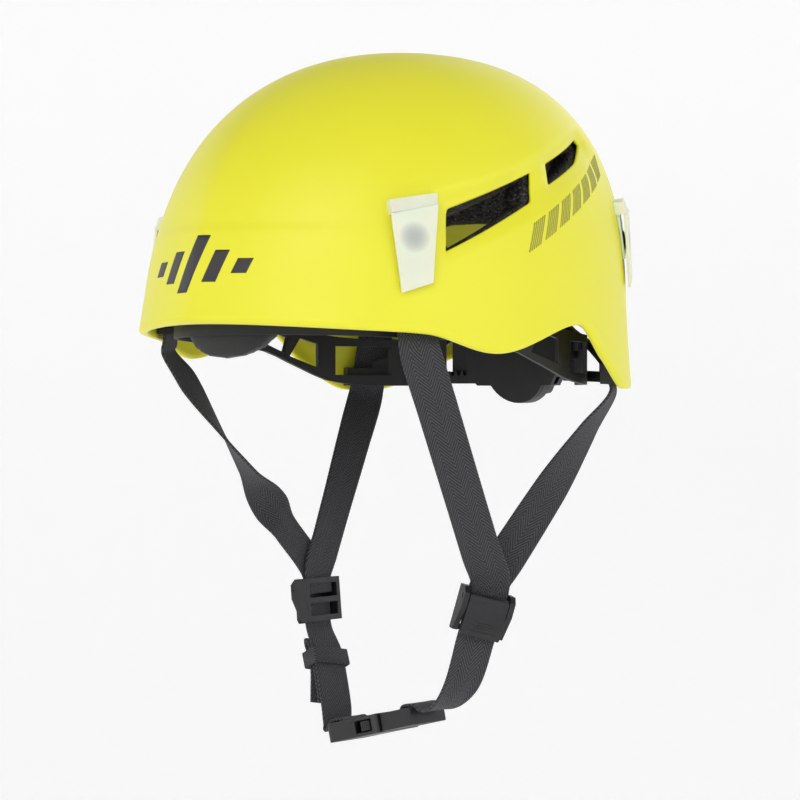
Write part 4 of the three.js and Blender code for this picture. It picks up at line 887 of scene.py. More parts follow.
def printed(name, patches, material, across, up):
    points, faces = [], []
    for corners in patches:
        start = sum(len(p) for p in points)
        top = shell_skin(corners, across, up, PRINT_LIFT)
        under = shell_skin(corners, across, up, -PRINT_SINK)
        points += [top, under]
        width, count = across + 1, len(top)
        grid = [(r * width + c, r * width + c + 1, (r + 1) * width + c + 1, (r + 1) * width + c)
                for r in range(up) for c in range(across)]
        faces += [[start + k for k in f] for f in grid]
        faces += [[start + count + k for k in f[::-1]] for f in grid]
        loop = [*range(across), *range(across, width * up, width),
                *range(width * (up + 1) - 1, width * up, -1), *range(width * up, 0, -width)]
        for k, a in enumerate(loop):
            b = loop[(k + 1) % len(loop)]
            faces.append([start + b, start + a, start + count + a, start + count + b])
    piece = add_piece(name, np.vstack(points) * MM, faces, material)
    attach(piece, "helmet")
    return piece


BROW_BARS = ((-27, 59, 66), (-13.5, 55, 70), (0, 50, 77), (13.5, 55, 70), (27, 59, 66))


def brow_bars():
    """Five slanted bars, the middle one the tallest: the middle, foot and head of each."""
    patches = []
    for middle, low, high in BROW_BARS:
        lean = (high - low) * 0.32
        corners = [(middle - 4 - lean / 2, low), (middle + 3.5 - lean / 2, low),
                   (middle + 4 + lean / 2, high), (middle - 3.5 + lean / 2, high)]
        shrink = dome_scale(np.array(63.0))[0]
        patches.append([(math.degrees(math.asin(x / (HALF_WIDTH * shrink))), z) for x, z in corners])
    return patches


def side_hatch(side):
    """Seven leaning blocks of fine upright lines, in a row that rises towards the rear."""
    patches = []
    for block in range(7):
        for line in range(6):
            t = (block + line / 7.6) / 7
            y, z = -13 + 86 * t, 78.5 + 45 * t
            half = 7.4 - 0.25 * block
            ends = [(-0.4, -half), (0.4, -half), (0.4, half), (-0.4, half)]
            patch = [(float(angle_at(side, y + dy + dz * 0.42, z + dz)), z + dz) for dy, dz in ends]
            patches.append(patch)
    return patches


brow_mark = printed("brow_mark", brow_bars(), PRINT_FINISH, 8, 12)
for side, word in ((1, "left"), (-1, "right")):
    printed(f"side_hatch_{word}", side_hatch(side), HATCH_FINISH, 1, 5)
print("printed marks", len(brow_mark.data.polygons))

# %% [markdown]
# ## Routes of the webbing
# Flat webbing follows a route of stations: a place and the way its width points. The legs leave
# the shell under each headlamp clip, run down inside it and turn towards the adjusters at jaw
# height. From there one strap on each side goes to the buckle under the chin. A centripetal
# Catmull-Rom curve runs through the stations, because it never loops or overshoots.

# %% Curves and frames
WEBBING_WIDTH, WEBBING_THICKNESS, LAYER_GAP = 20.0, 1.6, 0.8


def heading(degrees, lift=0.0):
    turn = math.radians(degrees)
    return np.array([math.cos(turn), math.sin(turn), lift])


def unit(vector):
    return vector / np.linalg.norm(vector)


class Place:
    """A local frame: x across, y up and z outwards, with its origin."""

    def __init__(self, origin, x_way, y_way):
        self.origin = np.array(origin, float)
        x = unit(np.array(x_way, float))
        y = unit(np.array(y_way, float) - x * np.dot(y_way, x))
        self.axes = np.array([x, y, np.cross(x, y)])

    def at(self, x, y, z):
        return self.origin + np.array([x, y, z]) @ self.axes


def curve_through(stations, steps_per_span):
    """Points of a centripetal Catmull-Rom curve through the stations."""
    knots = np.vstack([2 * stations[0] - stations[1], stations, 2 * stations[-1] - stations[-2]])
    points = []
    for i in range(1, len(knots) - 2):
        p0, p1, p2, p3 = knots[i - 1:i + 3]
        d0, d1, d2 = (max(np.linalg.norm(b - a) ** 0.5, 1e-2) for a, b in ((p0, p1), (p1, p2), (p2, p3)))
        m1 = ((p1 - p0) / d0 - (p2 - p0) / (d0 + d1) + (p2 - p1) / d1) * d1
        m2 = ((p2 - p1) / d1 - (p3 - p1) / (d1 + d2) + (p3 - p2) / d2) * d1
        t = np.arange(steps_per_span)[:, None] / steps_per_span
        square, cube = 3 * (p2 - p1) - 2 * m1 - m2, 2 * (p1 - p2) + m1 + m2
        points.append(p1 + m1 * t + square * t ** 2 + cube * t ** 3)
    return np.vstack([*points, stations[-1:]])


ADJUSTERS = {
    "left": Place((58.3, 7.3, -107), heading(57.6, -0.26), (0.12, 0.03, 1)),
    "right": Place((-58.3, 7.3, -107), heading(273), (-0.1, 0.1, 1)),
}
BUCKLE_TILT = math.radians(14)
BUCKLE = Place((2, -2, -166.5), (math.cos(BUCKLE_TILT), 0, math.sin(BUCKLE_TILT)), (0, 1, 0))
print("buckle centre", BUCKLE.origin)

# %% Leg routes
FRONT_LAYER, REAR_LAYER, MOUTH = 0.5, -1.9, 14.5
LEG_TURNS = {
    "front_left": [(0.25, 60), (0.6, 62), (0.85, 58)],
    "front_right": [(0.12, 105), (0.36, 133), (0.54, 165), (0.66, 222), (0.79, 272)],
    "rear_left": [(0.2, 100), (0.5, 72), (0.85, 58)],
    "rear_right": [(0.25, 255), (0.6, 268), (0.85, 272)],
}
LEG_ENDS = {  # corner angle and height, then the angle and height where it leaves the shell
    "front": (53, 74.5, 56, 31, -7.825, -7.825),
    "rear": (129, 83.5, 125, 13, -4.525, -9.0),
}


def leg_route(name):
    row, word = name.split("_")
    side = 1 if word == "left" else -1
    place = ADJUSTERS[word]
    angle, height, exit_angle, exit_height, offset, exit_offset = LEG_ENDS[row]
    at, across = [], []
    for t in (-0.2, 0, 0.25, 0.5, 0.8, 1, 1.12):
        z = np.array([height + (exit_height - height) * t])
        turn = side * (angle + (exit_angle - angle) * t) + 0 * z
        deep = min(max((t - 0.25) / 0.5, 0), 1)
        at.append(near_dome(turn, z, offset + (exit_offset - offset) * deep + 0 * z)[0])
        across.append(unit(np.cross((0, 0, 1), dome_normal(turn, z)[0])))
    layer = FRONT_LAYER if row == "front" else REAR_LAYER
    mouth, end = place.at(0, MOUTH, layer), place.at(0, 3.2, layer)
    start, turns = at[-1], [heading(turn) for _, turn in LEG_TURNS[name]]
    if np.dot(across[-1], turns[0]) < 0:
        across = [-a for a in across]
    at += [start + (mouth - start) * share for share, _ in LEG_TURNS[name]]
    last = place.axes[0] if np.dot(place.axes[0], turns[-1]) > 0 else -place.axes[0]
    return np.array([*at, mouth, end]), np.array([*across, *turns, last, last])


print("stations of each leg", {name: len(leg_route(name)[0]) for name in LEG_TURNS})

# %% Chin strap and spare webbing routes
BODY_END, PLUG_END = -32.0, 28.3
CHIN_ROUTES = {
    "left": [(0.53, 4.8, 0.8, -3, 66), (0.84, 3.1, 0.4, -1.9, 82)],
    "right": [(0.24, 1.3, 1.4, 0.4, 266), (0.49, 1.8, 0.7, 0.7, 264), (0.76, 1.7, -0.2, 0.8, 264)],
}


OVER_END_BAR = {  # how far out from the buckle's end, and how high
    "left": [(4, 1.8), (0, 5.0), (-4, 5.9), (-8, 5.6), (-10.7, 2), (-10.8, -3)],
    "right": [(4, 2.2), (0, 5.7), (-4, 6.3), (-8, 6), (-10.8, 2), (-10.9, -3)],
}


def chin_route(word):
    """Adjuster, bow, then over the buckle's end bar and down through its slot."""
    place = ADJUSTERS[word]
    side, buckle_end = (1, PLUG_END) if word == "left" else (-1, BODY_END)
    at = [place.at(0, y, 0.2) for y in (0.8, -5, -MOUTH)]
    across = [place.axes[0]] * 3
    arrive = BUCKLE.at(buckle_end + side * 4, 0, 0)
    leave = at[-1]
    for share, x, y, z, turn in CHIN_ROUTES[word]:
        at.append(leave + (arrive - leave) * share + np.array([x, y, z]))
        across.append(heading(turn))
    at += [BUCKLE.at(buckle_end + side * out, 0, z) for out, z in OVER_END_BAR[word]]
    across += [np.array([0.0, side, 0.0])] * len(OVER_END_BAR[word])
    return np.array(at), np.array(across)


MIDDLE_RUN = curve_through(chin_route("right")[0][2:6], 50)


def beside_right_strap(share, distance):
    """A place beside the middle run of the right chin strap, at a distance off its face."""
    path = MIDDLE_RUN
    p = share * (len(path) - 1)
    i = min(int(p), len(path) - 2)
    at = path[i] + (path[i + 1] - path[i]) * (p - i)
    along = unit(path[min(i + 2, len(path) - 1)] - path[max(i - 1, 0)])
    across = unit(heading(266) - along * np.dot(heading(266), along))
    return at + np.cross(across, -along) * distance, across, along


def tail_route():
    layer = WEBBING_THICKNESS + LAYER_GAP
    marks = [(t, 1) for t in (0.96, 0.83, 0.7, 0.57, 0.44, 0.31, 0.2)] + [(0.13, 1.5)]
    marks += [(t, 2) for t in (0.2, 0.31, 0.44, 0.57)] + [(0.75, 2.8), (0.92, 3.6)]
    places = [beside_right_strap(share, layer * layers) for share, layers in marks]
    return np.array([p[0] for p in places]), np.array([p[1] for p in places])


print("right chin strap stations", len(chin_route("right")[0]))

# %% [markdown]
# ## Hard parts from the frame
# The band, nape unit, clips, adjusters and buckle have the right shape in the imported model, but
# sharp facets. Each is copied, its loose triangles are joined, flat areas are merged and its
# edges are rounded by a Bevel modifier, as a mould's edges are. Weighted normals keep the flat
# faces flat in the light.

# %% Clip heads
CLIP_TOP, CLIP_CREASE = 24.0, 14.5
HEAD_LOWERED, HEAD_THINNED, BLOCK_NARROWED = 3.6, 1.9, 0.955


def corner_place(corner):
    """The local frame of a clip: across, up the shell, and outwards."""
    row, word = corner.split("_")
    angle, height = LEG_ENDS[row][:2]
    turn, z = np.array([angle if word == "left" else -angle]), np.array([height])
    normal = dome_normal(turn, z)[0]
    across = np.cross((0, 0, 1), normal)
    return Place(dome(turn, z)[0], across, np.cross(normal, across))


def soften_head(points, corner):
    """Lowers and narrows the head of a clip, so that it runs down into the shell at its top."""
    place = corner_place(corner)
    local = (points - place.origin) @ place.axes.T
    above = np.clip((local[:, 1] - CLIP_CREASE) / (CLIP_TOP - CLIP_CREASE), 0, 1)
    outside = local[:, 2] > 0.5
    local[:, 1] -= HEAD_LOWERED * above
    local[:, 0] *= BLOCK_NARROWED
    local[:, 2] -= np.where(outside, HEAD_THINNED * above ** 1.3, 0)
    return place.origin + local @ place.axes


print("clip at the front left stands at", corner_place("front_left").origin.round(1))


# %% Rounded copies of CAD nodes
SAME_POINT = 0.005
FLAT_WITHIN, EDGE_ABOVE = math.radians(1.2), math.radians(30)
EDGE_SEGMENTS = 3


def refined(node, name, width, material):
    source = frame["nodes"][node].data
    shape = bmesh.new()
    places = np.array([v.co for v in source.vertices]) / MM
    if node.startswith("clip_base"):
        places = soften_head(places, node[len("clip_base_"):])
    points = [shape.verts.new(tuple(p * MM)) for p in places]
    for polygon in source.polygons:
        try:
            shape.faces.new([points[k] for k in polygon.vertices])
        except ValueError:
            continue
    bmesh.ops.remove_doubles(shape, verts=shape.verts, dist=SAME_POINT * MM)
    bmesh.ops.dissolve_limit(shape, angle_limit=FLAT_WITHIN, verts=shape.verts, edges=shape.edges)
    bmesh.ops.delete(shape, geom=[v for v in shape.verts if not v.link_faces], context="VERTS")
    bmesh.ops.triangulate(shape, faces=[f for f in shape.faces if len(f.verts) > 4])
    bmesh.ops.recalc_face_normals(shape, faces=shape.faces)
    mesh = bpy.data.meshes.new(name)
    shape.to_mesh(mesh)
    shape.free()
    mesh.polygons.foreach_set("use_smooth", [True] * len(mesh.polygons))
    mesh.materials.append(material)
    piece = bpy.data.objects.new(name, mesh)
    bpy.context.collection.objects.link(piece)
    bevel = piece.modifiers.new("moulded edges", "BEVEL")
    bevel.width = width * MM
    bevel.segments = EDGE_SEGMENTS
    bevel.limit_method = "ANGLE"
    bevel.angle_limit = EDGE_ABOVE
    bevel.miter_outer = "MITER_ARC"
    normals = piece.modifiers.new("flat faces", "WEIGHTED_NORMAL")
    normals.keep_sharp = True
    settle(piece, node)


# %% Round the band, nape unit, hardware and clips
ROUNDED_PARTS = [
    ("headband", "size_band", 0.5, BAND_FINISH),
    ("nape_cradle", "nape_inner_plate", 0.5, BAND_FINISH),
    ("nape_cover", "nape_outer_cover", 0.45, PLASTIC_FINISH),
    ("size_dial", "grip_dial", 0.4, PLASTIC_FINISH),
    ("right_size_strip", "toothed_strip_right", 0.15, BAND_FINISH),
    ("left_size_strip", "toothed_strip_left", 0.15, BAND_FINISH),
    ("buckle_body", "buckle_socket", 1.0, PLASTIC_FINISH),
    ("buckle_plug", "buckle_tongue", 0.9, PLASTIC_FINISH),
    ("buckle_prong_front", "thumb_prong_front", 0.5, PLASTIC_FINISH),
    ("buckle_prong_rear", "thumb_prong_rear", 0.5, PLASTIC_FINISH),
]
for word in ("left", "right"):
    ROUNDED_PARTS.append((f"hanger_front_{word}", f"band_hanger_{word}", 0.35, BAND_FINISH))
    ROUNDED_PARTS.append((f"adjuster_frame_{word}", f"strap_adjuster_{word}", 0.9, PLASTIC_FINISH))
    ROUNDED_PARTS.append((f"adjuster_lever_{word}", f"cam_lever_{word}", 0.9, PLASTIC_FINISH))
for corner in CORNERS:
    ROUNDED_PARTS.append((f"clip_base_{corner}", f"clip_block_{corner}", 0.5, CLIP_FINISHES[corner]))
    ROUNDED_PARTS.append((f"clip_tongue_{corner}", f"clip_plate_{corner}", 0.35, CLIP_FINISHES[corner]))
for node, name, width, material in ROUNDED_PARTS:
    refined(node, name, width, material)
print("rounded parts", len(ROUNDED_PARTS))

# %% Paint the small steel parts and the pinion
for node, piece in frame["nodes"].items():
    bright = node.startswith(("detent", "rivet_washer"))
    if slot_of_node[node] == "steel":
        piece.data.materials.clear()
        piece.data.materials.append(STEEL_FINISH if bright else BLACK_STEEL_FINISH)
pinion = frame["nodes"]["dial_pinion"].data
pinion.materials.clear()
pinion.materials.append(PLASTIC_FINISH)
print("steel parts", sum(slot == "steel" for slot in slot_of_node.values()))

# %% [markdown]
# ## Webbing
# Real harness webbing is woven flat with slightly thicker edges. The ribbon is a closed strip with
# half-round edges and a UV map in metres, so the herringbone keeps the same size on every strap.
# A ribbon is made directly, because cloth simulation would lose its crisp, taut edges.

# %% Ribbon section
SELVEDGE_FROM, BODY_SHARE = 0.86, 0.86


def ribbon_profile(width, thickness):
    """A closed section with a thin body, thicker selvedges and round edges."""
    half, thick = width / 2, thickness / 2
    flat = []
    for x in (0.97, 0.9, 0.84, 0.5, 0.0, -0.5, -0.84, -0.9, -0.97):
        flat.append((x * (half - thick), thick * (BODY_SHARE if abs(x) < SELVEDGE_FROM else 1.0)))
    turn = []
    for a in np.linspace(0.3, math.pi - 0.3, 5):
        turn.append((-(half - thick) - thick * math.sin(a), thick * math.cos(a)))
    under = [(x, -z) for x, z in flat[::-1]]
    back = [(-x, -z) for x, z in turn]
    return np.array(flat + turn + under + back)


def woven_map(piece, table):
    """Gives a woven piece its UV map from a table of one (U, V) in millimetres for each point."""
    uv = piece.data.uv_layers.new(name="webbing")
    corners = np.zeros(len(piece.data.loops), int)
    piece.data.loops.foreach_get("vertex_index", corners)
    uv.data.foreach_set("uv", (table * MM)[corners].ravel())


def outward_normals(piece):
    shape = bmesh.new()
    shape.from_mesh(piece.data)
    bmesh.ops.recalc_face_normals(shape, faces=shape.faces)
    shape.to_mesh(piece.data)
    shape.free()


PROFILE = ribbon_profile(WEBBING_WIDTH, WEBBING_THICKNESS)
print("points in the section", len(PROFILE))


# %% Ribbon builder
RIBBON_STEPS = 14


def ribbon(name, route, node, blend=None):
    at, sides = route
    path = curve_through(at, RIBBON_STEPS)
    turns = curve_through(np.array([unit(s) for s in sides]), RIBBON_STEPS)
    along = np.gradient(path, axis=0)
    along /= np.linalg.norm(along, axis=1, keepdims=True)
    across = turns - along * (turns * along).sum(axis=1, keepdims=True)
    across /= np.linalg.norm(across, axis=1, keepdims=True)
    up = np.cross(along, across)
    length = np.concatenate([[0], np.cumsum(np.linalg.norm(np.diff(path, axis=0), axis=1))])
    count = len(PROFILE)
    rings = path[:, None] + across[:, None] * PROFILE[None, :, :1] + up[:, None] * PROFILE[None, :, 1:]
    faces = []
    for i in range(len(path) - 1):
        for k in range(count):
            a, b = i * count + k, i * count + (k + 1) % count
            faces.append((a, b, b + count, a + count))
    first = list(range(count))
    last = list(range((len(path) - 1) * count, len(path) * count))
    faces += [first[::-1], last]
    piece = add_piece(name, rings.reshape(-1, 3) * MM, faces, WEBBING_FINISH)
    u = np.tile(PROFILE[:, 0], len(path)) + WEBBING_WIDTH
    woven_map(piece, np.stack([u, np.repeat(length, count)], axis=1))
    outward_normals(piece)
    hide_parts(node)
    if blend is None:
        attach(piece, body_of_node[node])
    else:
        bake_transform(piece)
    return path, across, up


# %% Straps
strap_frames = {}
for name in LEG_TURNS:
    strap_frames[name] = ribbon(f"leg_{name}", leg_route(name), f"strap_{name}")
strap_frames["right"] = ribbon("chin_strap_buckle_side", chin_route("right"), "chin_strap_right")
plug_side = (
    "helmet", "plug",
    tuple(ADJUSTERS["left"].at(0, -MOUTH, 0) * MM),
    tuple(BUCKLE.at(PLUG_END + 4, 0, 1.8) * MM),
)
strap_frames["left"] = ribbon("chin_strap_plug_side", chin_route("left"), "chin_strap_left", blend=plug_side)
strap_frames["tail"] = ribbon("spare_webbing", tail_route(), "strap_tail")
for name, (path, _, _) in strap_frames.items():
    print(name, "length in mm", round(float(np.linalg.norm(np.diff(path, axis=0), axis=1).sum())))

# %% [markdown]
# ## Strap keeper
# A sewn elastic loop holds the spare webbing against the strap. It is a closed band with the same
# weave, wrapped round both layers: a small section is carried round a rectangle with round corners.

# %% Keeper loop
KEEPER_SHARE = 0.42
KEEPER_HALF, KEEPER_DEEP = WEBBING_WIDTH / 2 + 0.9, WEBBING_THICKNESS * 1.5 + 2.3
KEEPER_WALL, KEEPER_HEIGHT, KEEPER_CORNER, KEEPER_EDGE = 1.0, 4.5, 0.6, 0.35


def keeper_loop():
    at, across, along = beside_right_strap(KEEPER_SHARE, WEBBING_THICKNESS + LAYER_GAP)
    place = Place(at, across, -along)
    section = []
    for cx, cz, start in ((1, 1, 0), (-1, 1, 90), (-1, -1, 180), (1, -1, 270)):
        for step in range(5):
            turn = math.radians(start + step * 22.5)
            nx, nz = math.cos(turn), math.sin(turn)
            x = cx * (KEEPER_HALF - KEEPER_CORNER) + nx * KEEPER_CORNER
            z = cz * (KEEPER_DEEP - KEEPER_CORNER) + nz * KEEPER_CORNER
            section.append((x, z, nx, nz))
    wall, height, soft = KEEPER_WALL, KEEPER_HEIGHT, KEEPER_EDGE
    edge = [
        (0.0, -height), (0.0, height), (soft, height),
        (wall, height - soft), (wall, -height + soft), (soft, -height),
    ]
    points, faces = [], []
    for x, z, nx, nz in section:
        points += [place.at(x + nx * out, y, z + nz * out) for out, y in edge]
    n, m = len(section), len(edge)
    for i in range(n):
        for k in range(m):
            a, b = i * m + k, i * m + (k + 1) % m
            c, d = ((i + 1) % n) * m + (k + 1) % m, ((i + 1) % n) * m + k
            faces.append((a, b, c, d))
    piece = add_piece("elastic_keeper", np.array(points) * MM, faces, WEBBING_FINISH)
    girth = np.cumsum([0] + [math.dist(section[i][:2], section[i - 1][:2]) for i in range(1, n)])
    u = np.tile([y for _, y in edge], n) + WEBBING_WIDTH / 2
    woven_map(piece, np.stack([u, np.repeat(girth, m)], axis=1))
    outward_normals(piece)
    settle(piece, "strap_keeper")
    return piece


keeper = keeper_loop()
print("keeper size, mm", [round(d / MM, 1) for d in keeper.dimensions])

# %% [markdown]
# ## Rows that repeat
# Stitches and grip ribs repeat along a line. One Geometry Nodes tree makes both: it samples the
# line at an even spacing, sets a small rounded bar at each sample, turned along the line, and
# realizes the copies. A bar is round, so it doesn't matter which way is out.

# %% Row tree
def row_tree():
    tree = bpy.data.node_groups.new("row along a line", "GeometryNodeTree")
    face = tree.interface
    face.new_socket("Geometry", in_out="INPUT", socket_type="NodeSocketGeometry")
    for label, value in (("Spacing", 0.0025), ("Bar length", 0.0018), ("Bar width", 0.0006)):
        face.new_socket(label, in_out="INPUT", socket_type="NodeSocketFloat").default_value = value
    face.new_socket("Finish", in_out="INPUT", socket_type="NodeSocketMaterial")
    face.new_socket("Geometry", in_out="OUTPUT", socket_type="NodeSocketGeometry")
    new, link = tree.nodes.new, tree.links.new
    start, end = new("NodeGroupInput"), new("NodeGroupOutput")
    curve = new("GeometryNodeMeshToCurve")
    link(start.outputs["Geometry"], curve.inputs["Mesh"])
    points = new("GeometryNodeCurveToPoints")
    points.mode = "LENGTH"
    link(curve.outputs["Curve"], points.inputs["Curve"])
    link(start.outputs["Spacing"], points.inputs["Length"])
    bar = new("GeometryNodeMeshUVSphere")
    bar.inputs["Segments"].default_value = 10
    bar.inputs["Rings"].default_value = 7
    bar.inputs["Radius"].default_value = 0.5
    size = new("ShaderNodeCombineXYZ")
    link(start.outputs["Bar width"], size.inputs["X"])
    link(start.outputs["Bar width"], size.inputs["Y"])
    link(start.outputs["Bar length"], size.inputs["Z"])
    pose = new("GeometryNodeTransform")
    link(bar.outputs["Mesh"], pose.inputs["Geometry"])
    link(size.outputs["Vector"], pose.inputs["Scale"])
    copies = new("GeometryNodeInstanceOnPoints")
    link(points.outputs["Points"], copies.inputs["Points"])
    link(pose.outputs["Geometry"], copies.inputs["Instance"])
    link(points.outputs["Rotation"], copies.inputs["Rotation"])
    real = new("GeometryNodeRealizeInstances")
    link(copies.outputs["Instances"], real.inputs["Geometry"])
    smooth = new("GeometryNodeSetShadeSmooth")
    link(real.outputs["Geometry"], smooth.inputs["Geometry"])
    paint = new("GeometryNodeSetMaterial")
    link(smooth.outputs["Geometry"], paint.inputs["Geometry"])
    link(start.outputs["Finish"], paint.inputs["Material"])
    link(paint.outputs["Geometry"], end.inputs["Geometry"])
    return tree


ROW_TREE = row_tree()
print(ROW_TREE.name, "nodes", len(ROW_TREE.nodes))


# %% Rows of bars
def bar_row(name, lines, material, body, spacing, length, width):
    """Bars along several lines, in millimetres, baked to one plain mesh on one body."""
    points, edges = [], []
    for line in lines:
        start = len(points)
        points += [tuple(np.array(p) * MM) for p in line]
        edges += [(start + k, start + k + 1) for k in range(len(line) - 1)]
    guide_mesh = bpy.data.meshes.new(name + "_line")
    guide_mesh.from_pydata(points, edges, [])
    guide = bpy.data.objects.new(name + "_line", guide_mesh)
    bpy.context.collection.objects.link(guide)
    nodes = guide.modifiers.new("row", "NODES")
    nodes.node_group = ROW_TREE
    values = {
        "Spacing": spacing * MM, "Bar length": length * MM, "Bar width": width * MM, "Finish": material,
    }
    for item in ROW_TREE.interface.items_tree:
        if item.in_out == "INPUT" and item.name in values:
            nodes[item.identifier] = values[item.name]
    evaluated = guide.evaluated_get(bpy.context.evaluated_depsgraph_get())
    mesh = bpy.data.meshes.new_from_object(evaluated)
    bpy.data.objects.remove(guide)
    mesh.name = name
    piece = bpy.data.objects.new(name, mesh)
    bpy.context.collection.objects.link(piece)
    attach(piece, body)
    return piece


# %% [markdown]
# ## Stitching on the harness
# A strap that is folded at its end is held by a bar-tack box: two short rows across the strap and
# two along it, with a cross between. The boxes sit on the two front legs just above the adjusters
# and on the folded end of the spare webbing. The thread is a little lighter than the webbing.

# %% Bar-tack boxes
TACK_HALF, THREAD_SUNK = 7.6, 0.98


def on_strap(name, share, sideways, lift):
    """A point on a strap's face: share of its length, distance sideways, and which face."""
    path, across, up = strap_frames[name]
    p = share * (len(path) - 1)
    i = min(int(p), len(path) - 2)
    at = path[i] + (path[i + 1] - path[i]) * (p - i)
    return at + across[i] * sideways + up[i] * (WEBBING_THICKNESS / 2 * lift * THREAD_SUNK)


def tack_box(name, low, high, lift):
    """Two rows along the strap, two across it and two crossing between its corners."""
    half = TACK_HALF
    rows = [[on_strap(name, t, w, lift) for t in np.linspace(low, high, 12)] for w in (-half, half)]
    rows += [[on_strap(name, t, w, lift) for w in np.linspace(-half, half, 8)] for t in (low, high)]
    for way in (-1, 1):
        slant = [(low + (high - low) * k, way * (half - 2 * half * k)) for k in np.linspace(0, 1, 10)]
        rows.append([on_strap(name, t, w, lift) for t, w in slant])
    return rows


TACKS = []
for name, low, high in (("front_left", 0.905, 0.945), ("front_right", 0.92, 0.95), ("tail", 0.945, 0.995)):
    for lift in (1, -1):
        TACKS += tack_box(name, low, high, lift)
stitches = bar_row(
    "harness_stitches", TACKS, THREAD_FINISH, "helmet", spacing=1.5, length=1.15, width=0.42,
)
print("stitch faces", len(stitches.data.polygons))

# %% [markdown]
# ## Grip ribs
# Fingers press the two thumb pads of the buckle and lift the two cam levers. Each has a few fine
# moulded ribs. A rib is one bar of the same row tree, on a short line that holds a single sample.

# %% Ribs on the thumb pads and levers
RIBS = 4
PAD_FACE, PAD_START, PAD_PITCH = 13.2, -6.2, 1.4
LEVER_TIP, LEVER_PITCH, LEVER_FACE, LEVER_SLOPE = -12.5, 1.5, 6.3, 0.04


def single_rib(place, middle, way):
    """A line so short that the row tree sets one bar on it, centred at its start."""
    x, y, z = middle
    return [place.at(x, y, z), place.at(x + way[0] * 0.4, y + way[1] * 0.4, z + way[2] * 0.4)]


for side, word in ((-1, "front"), (1, "rear")):
    spots = [(PAD_START + PAD_PITCH * k, side * PAD_FACE, 0) for k in range(RIBS)]
    ribs = [single_rib(BUCKLE, spot, (0, 0, 1)) for spot in spots]
    bar_row(
        f"thumb_ribs_{word}", ribs, PLASTIC_FINISH, f"prong_{word}",
        spacing=5, length=4.2, width=0.5,
    )
for word, place in ADJUSTERS.items():
    spots = [(0, LEVER_TIP + 3 + LEVER_PITCH * k, LEVER_FACE - LEVER_SLOPE * k) for k in range(RIBS)]
    ribs = [single_rib(place, spot, (1, 0, 0)) for spot in spots]
    bar_row(
        f"lever_ribs_{word}", ribs, PLASTIC_FINISH, f"lever_{word}",
        spacing=20, length=15, width=0.6,
    )
print("ribs on two thumb pads and two levers")

# %% [markdown]
# ## Padded pieces
# The brow and crown pads are foam cut to shape and faced with knitted cloth, so they swell between
# their edges. Cloth simulation gives that shape: the block is remeshed evenly, a little pressure
# fills it, and no point may move further than a small cap, so the pad stays in its place.

# %% Cloth simulation of a pad
PAD_FRAMES, PAD_PRESSURE = 20, 3.0


def bake_modifiers(piece):
    """Turns the piece's modifiers into plain mesh and removes them."""
    evaluated = piece.evaluated_get(bpy.context.evaluated_depsgraph_get())
    mesh = bpy.data.meshes.new_from_object(evaluated)
    piece.modifiers.clear()
    piece.data = mesh
    return mesh


def fill_with_air(piece, rest, cap):
    """Swells the piece by a short cloth simulation, moving no point further than the cap."""
    cloth = piece.modifiers.new("pad cloth", "CLOTH")
    cloth.settings.quality = 6
    cloth.settings.use_pressure = True
    cloth.settings.uniform_pressure_force = PAD_PRESSURE
    cloth.settings.tension_stiffness = 30
    cloth.settings.compression_stiffness = 30
    cloth.settings.bending_stiffness = 4
    cloth.settings.effector_weights.gravity = 0
    cloth.point_cache.frame_start, cloth.point_cache.frame_end = 1, PAD_FRAMES
    for step in range(1, PAD_FRAMES + 1):
        bpy.context.scene.frame_set(step)
    swollen = piece.evaluated_get(bpy.context.evaluated_depsgraph_get()).data
    moved = np.array([v.co for v in swollen.vertices]) - rest
    distance = np.linalg.norm(moved, axis=1, keepdims=True)
    moved *= np.minimum(1, cap * MM / np.maximum(distance, 1e-9))
    piece.data.vertices.foreach_set("co", (rest + moved).ravel())
    piece.modifiers.clear()
    bpy.context.scene.frame_set(1)


def puffed(node, name, voxel, cap, shrink):
    """A padded piece from a node's block: even mesh, swollen, smoothed and made finer."""
    piece = bpy.data.objects.new(name, frame["nodes"][node].data.copy())
    piece.data.name = name
    bpy.context.collection.objects.link(piece)
    remesh = piece.modifiers.new("even mesh", "REMESH")
    remesh.mode = "VOXEL"
    remesh.voxel_size = voxel * MM
    mesh = bake_modifiers(piece)
    rest = np.array([v.co for v in mesh.vertices])
    normals = np.array([v.normal for v in mesh.vertices])
    rest = rest - normals * shrink * MM
    mesh.vertices.foreach_set("co", rest.ravel())
    mesh.update()
    fill_with_air(piece, rest, cap)
    smooth = piece.modifiers.new("soft faces", "SMOOTH")
    smooth.factor, smooth.iterations = 0.5, 4
    finer = piece.modifiers.new("finer", "SUBSURF")
    finer.levels = finer.render_levels = 1
    mesh = bake_modifiers(piece)
    mesh.polygons.foreach_set("use_smooth", [True] * len(mesh.polygons))
    mesh.materials.clear()
    mesh.materials.append(PAD_FINISH)
    settle(piece, node)
    return piece


brow_cushion = puffed("brow_pad", "brow_cushion", voxel=1.3, cap=1.2, shrink=0.5)
crown_cushion = puffed("crown_pad", "crown_cushion", voxel=1.8, cap=1.6, shrink=0.6)
for pad in (brow_cushion, crown_cushion):
    print(pad.name, len(pad.data.polygons), [round(d / MM, 1) for d in pad.dimensions])

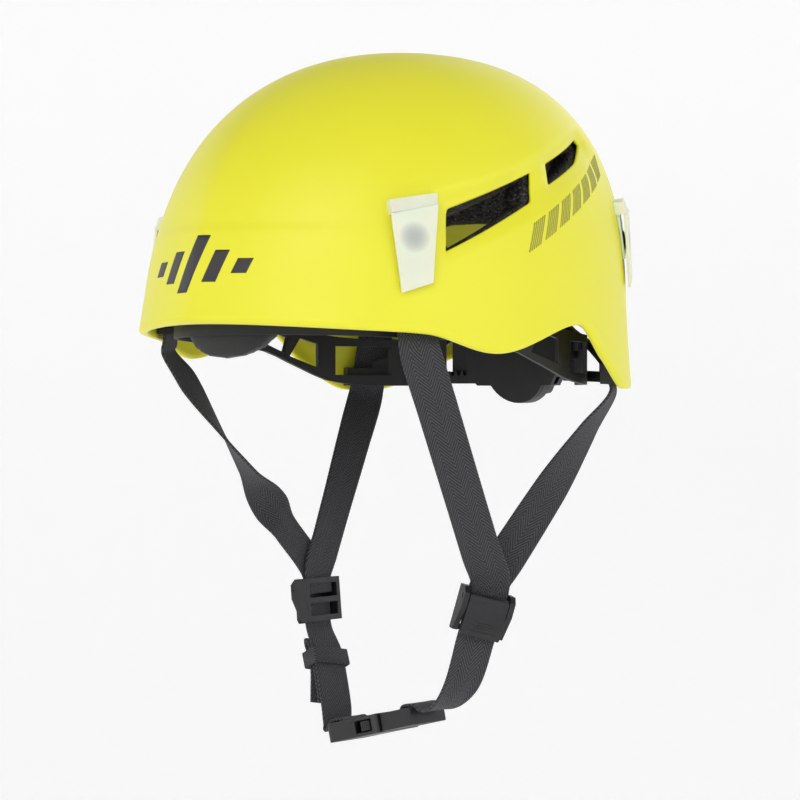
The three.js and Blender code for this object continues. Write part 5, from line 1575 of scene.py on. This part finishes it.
# %% [markdown]
# ## Seams on the pads
# A row of stitches runs a little inside each pad's edge and pulls the knit down. The swelling comes
# first, because an even remesh would erase so narrow a channel. Rays find the pad's face along the
# seam, points near it sink, and the row tree sews the stitches.

# %% Sewn seam on a pad
SEAM_REACH, SEAM_DEPTH, THREAD_SHARE_OF_DEPTH = 1.9, 0.7, 0.75


def seam_on(pad, starts, way):
    """Finds the seam by rays onto the pad, sinks a channel along it and sews it."""
    tree = BVHTree.FromObject(pad, bpy.context.evaluated_depsgraph_get())
    line = []
    for start in starts:
        hit = tree.ray_cast(Vector(start) * MM, Vector(way))[0]
        if hit is not None:
            line.append(np.array(hit) / MM)
    line = np.array(line)
    points = np.array([v.co for v in pad.data.vertices]) / MM
    reach = np.full(len(points), np.inf)
    for spot in line:
        reach = np.minimum(reach, np.linalg.norm(points - spot, axis=1))
    sink = SEAM_DEPTH * np.maximum(1 - (reach / SEAM_REACH) ** 2, 0)
    points = points + np.array(way) * sink[:, None]
    pad.data.vertices.foreach_set("co", (points * MM).ravel())
    pad.data.update()
    sewn = line + np.array(way) * (SEAM_DEPTH * THREAD_SHARE_OF_DEPTH)
    return bar_row(
        pad.name + "_seam", [sewn], THREAD_FINISH, "helmet", spacing=2.6, length=2.0, width=0.5,
    )


# %% Seams of the brow and crown cushions
BROW_HALF, BROW_MIDDLE, BROW_DROP, BROW_TOP = 26.5, 35.5, 12, 40.5
CROWN_SEAM = 29
INSIDE_Y, INSIDE_Z = -60, 110
bow = np.linspace(0, math.pi, 60)
brow_line = [(BROW_HALF * math.cos(t), INSIDE_Y, BROW_MIDDLE - BROW_DROP * math.sin(t)) for t in bow]
brow_line = [(BROW_HALF, INSIDE_Y, BROW_TOP), *brow_line, (-BROW_HALF, INSIDE_Y, BROW_TOP)]
crown_line = []
for t in np.linspace(0, math.pi, 120):
    crown_line.append((CROWN_SEAM * math.cos(2 * t), SETBACK + CROWN_SEAM * math.sin(2 * t), INSIDE_Z))
for pad, line, way in ((brow_cushion, brow_line, (0, -1, 0)), (crown_cushion, crown_line, (0, 0, 1))):
    seam = seam_on(pad, line, way)
    print(seam.name, "faces", len(seam.data.polygons))
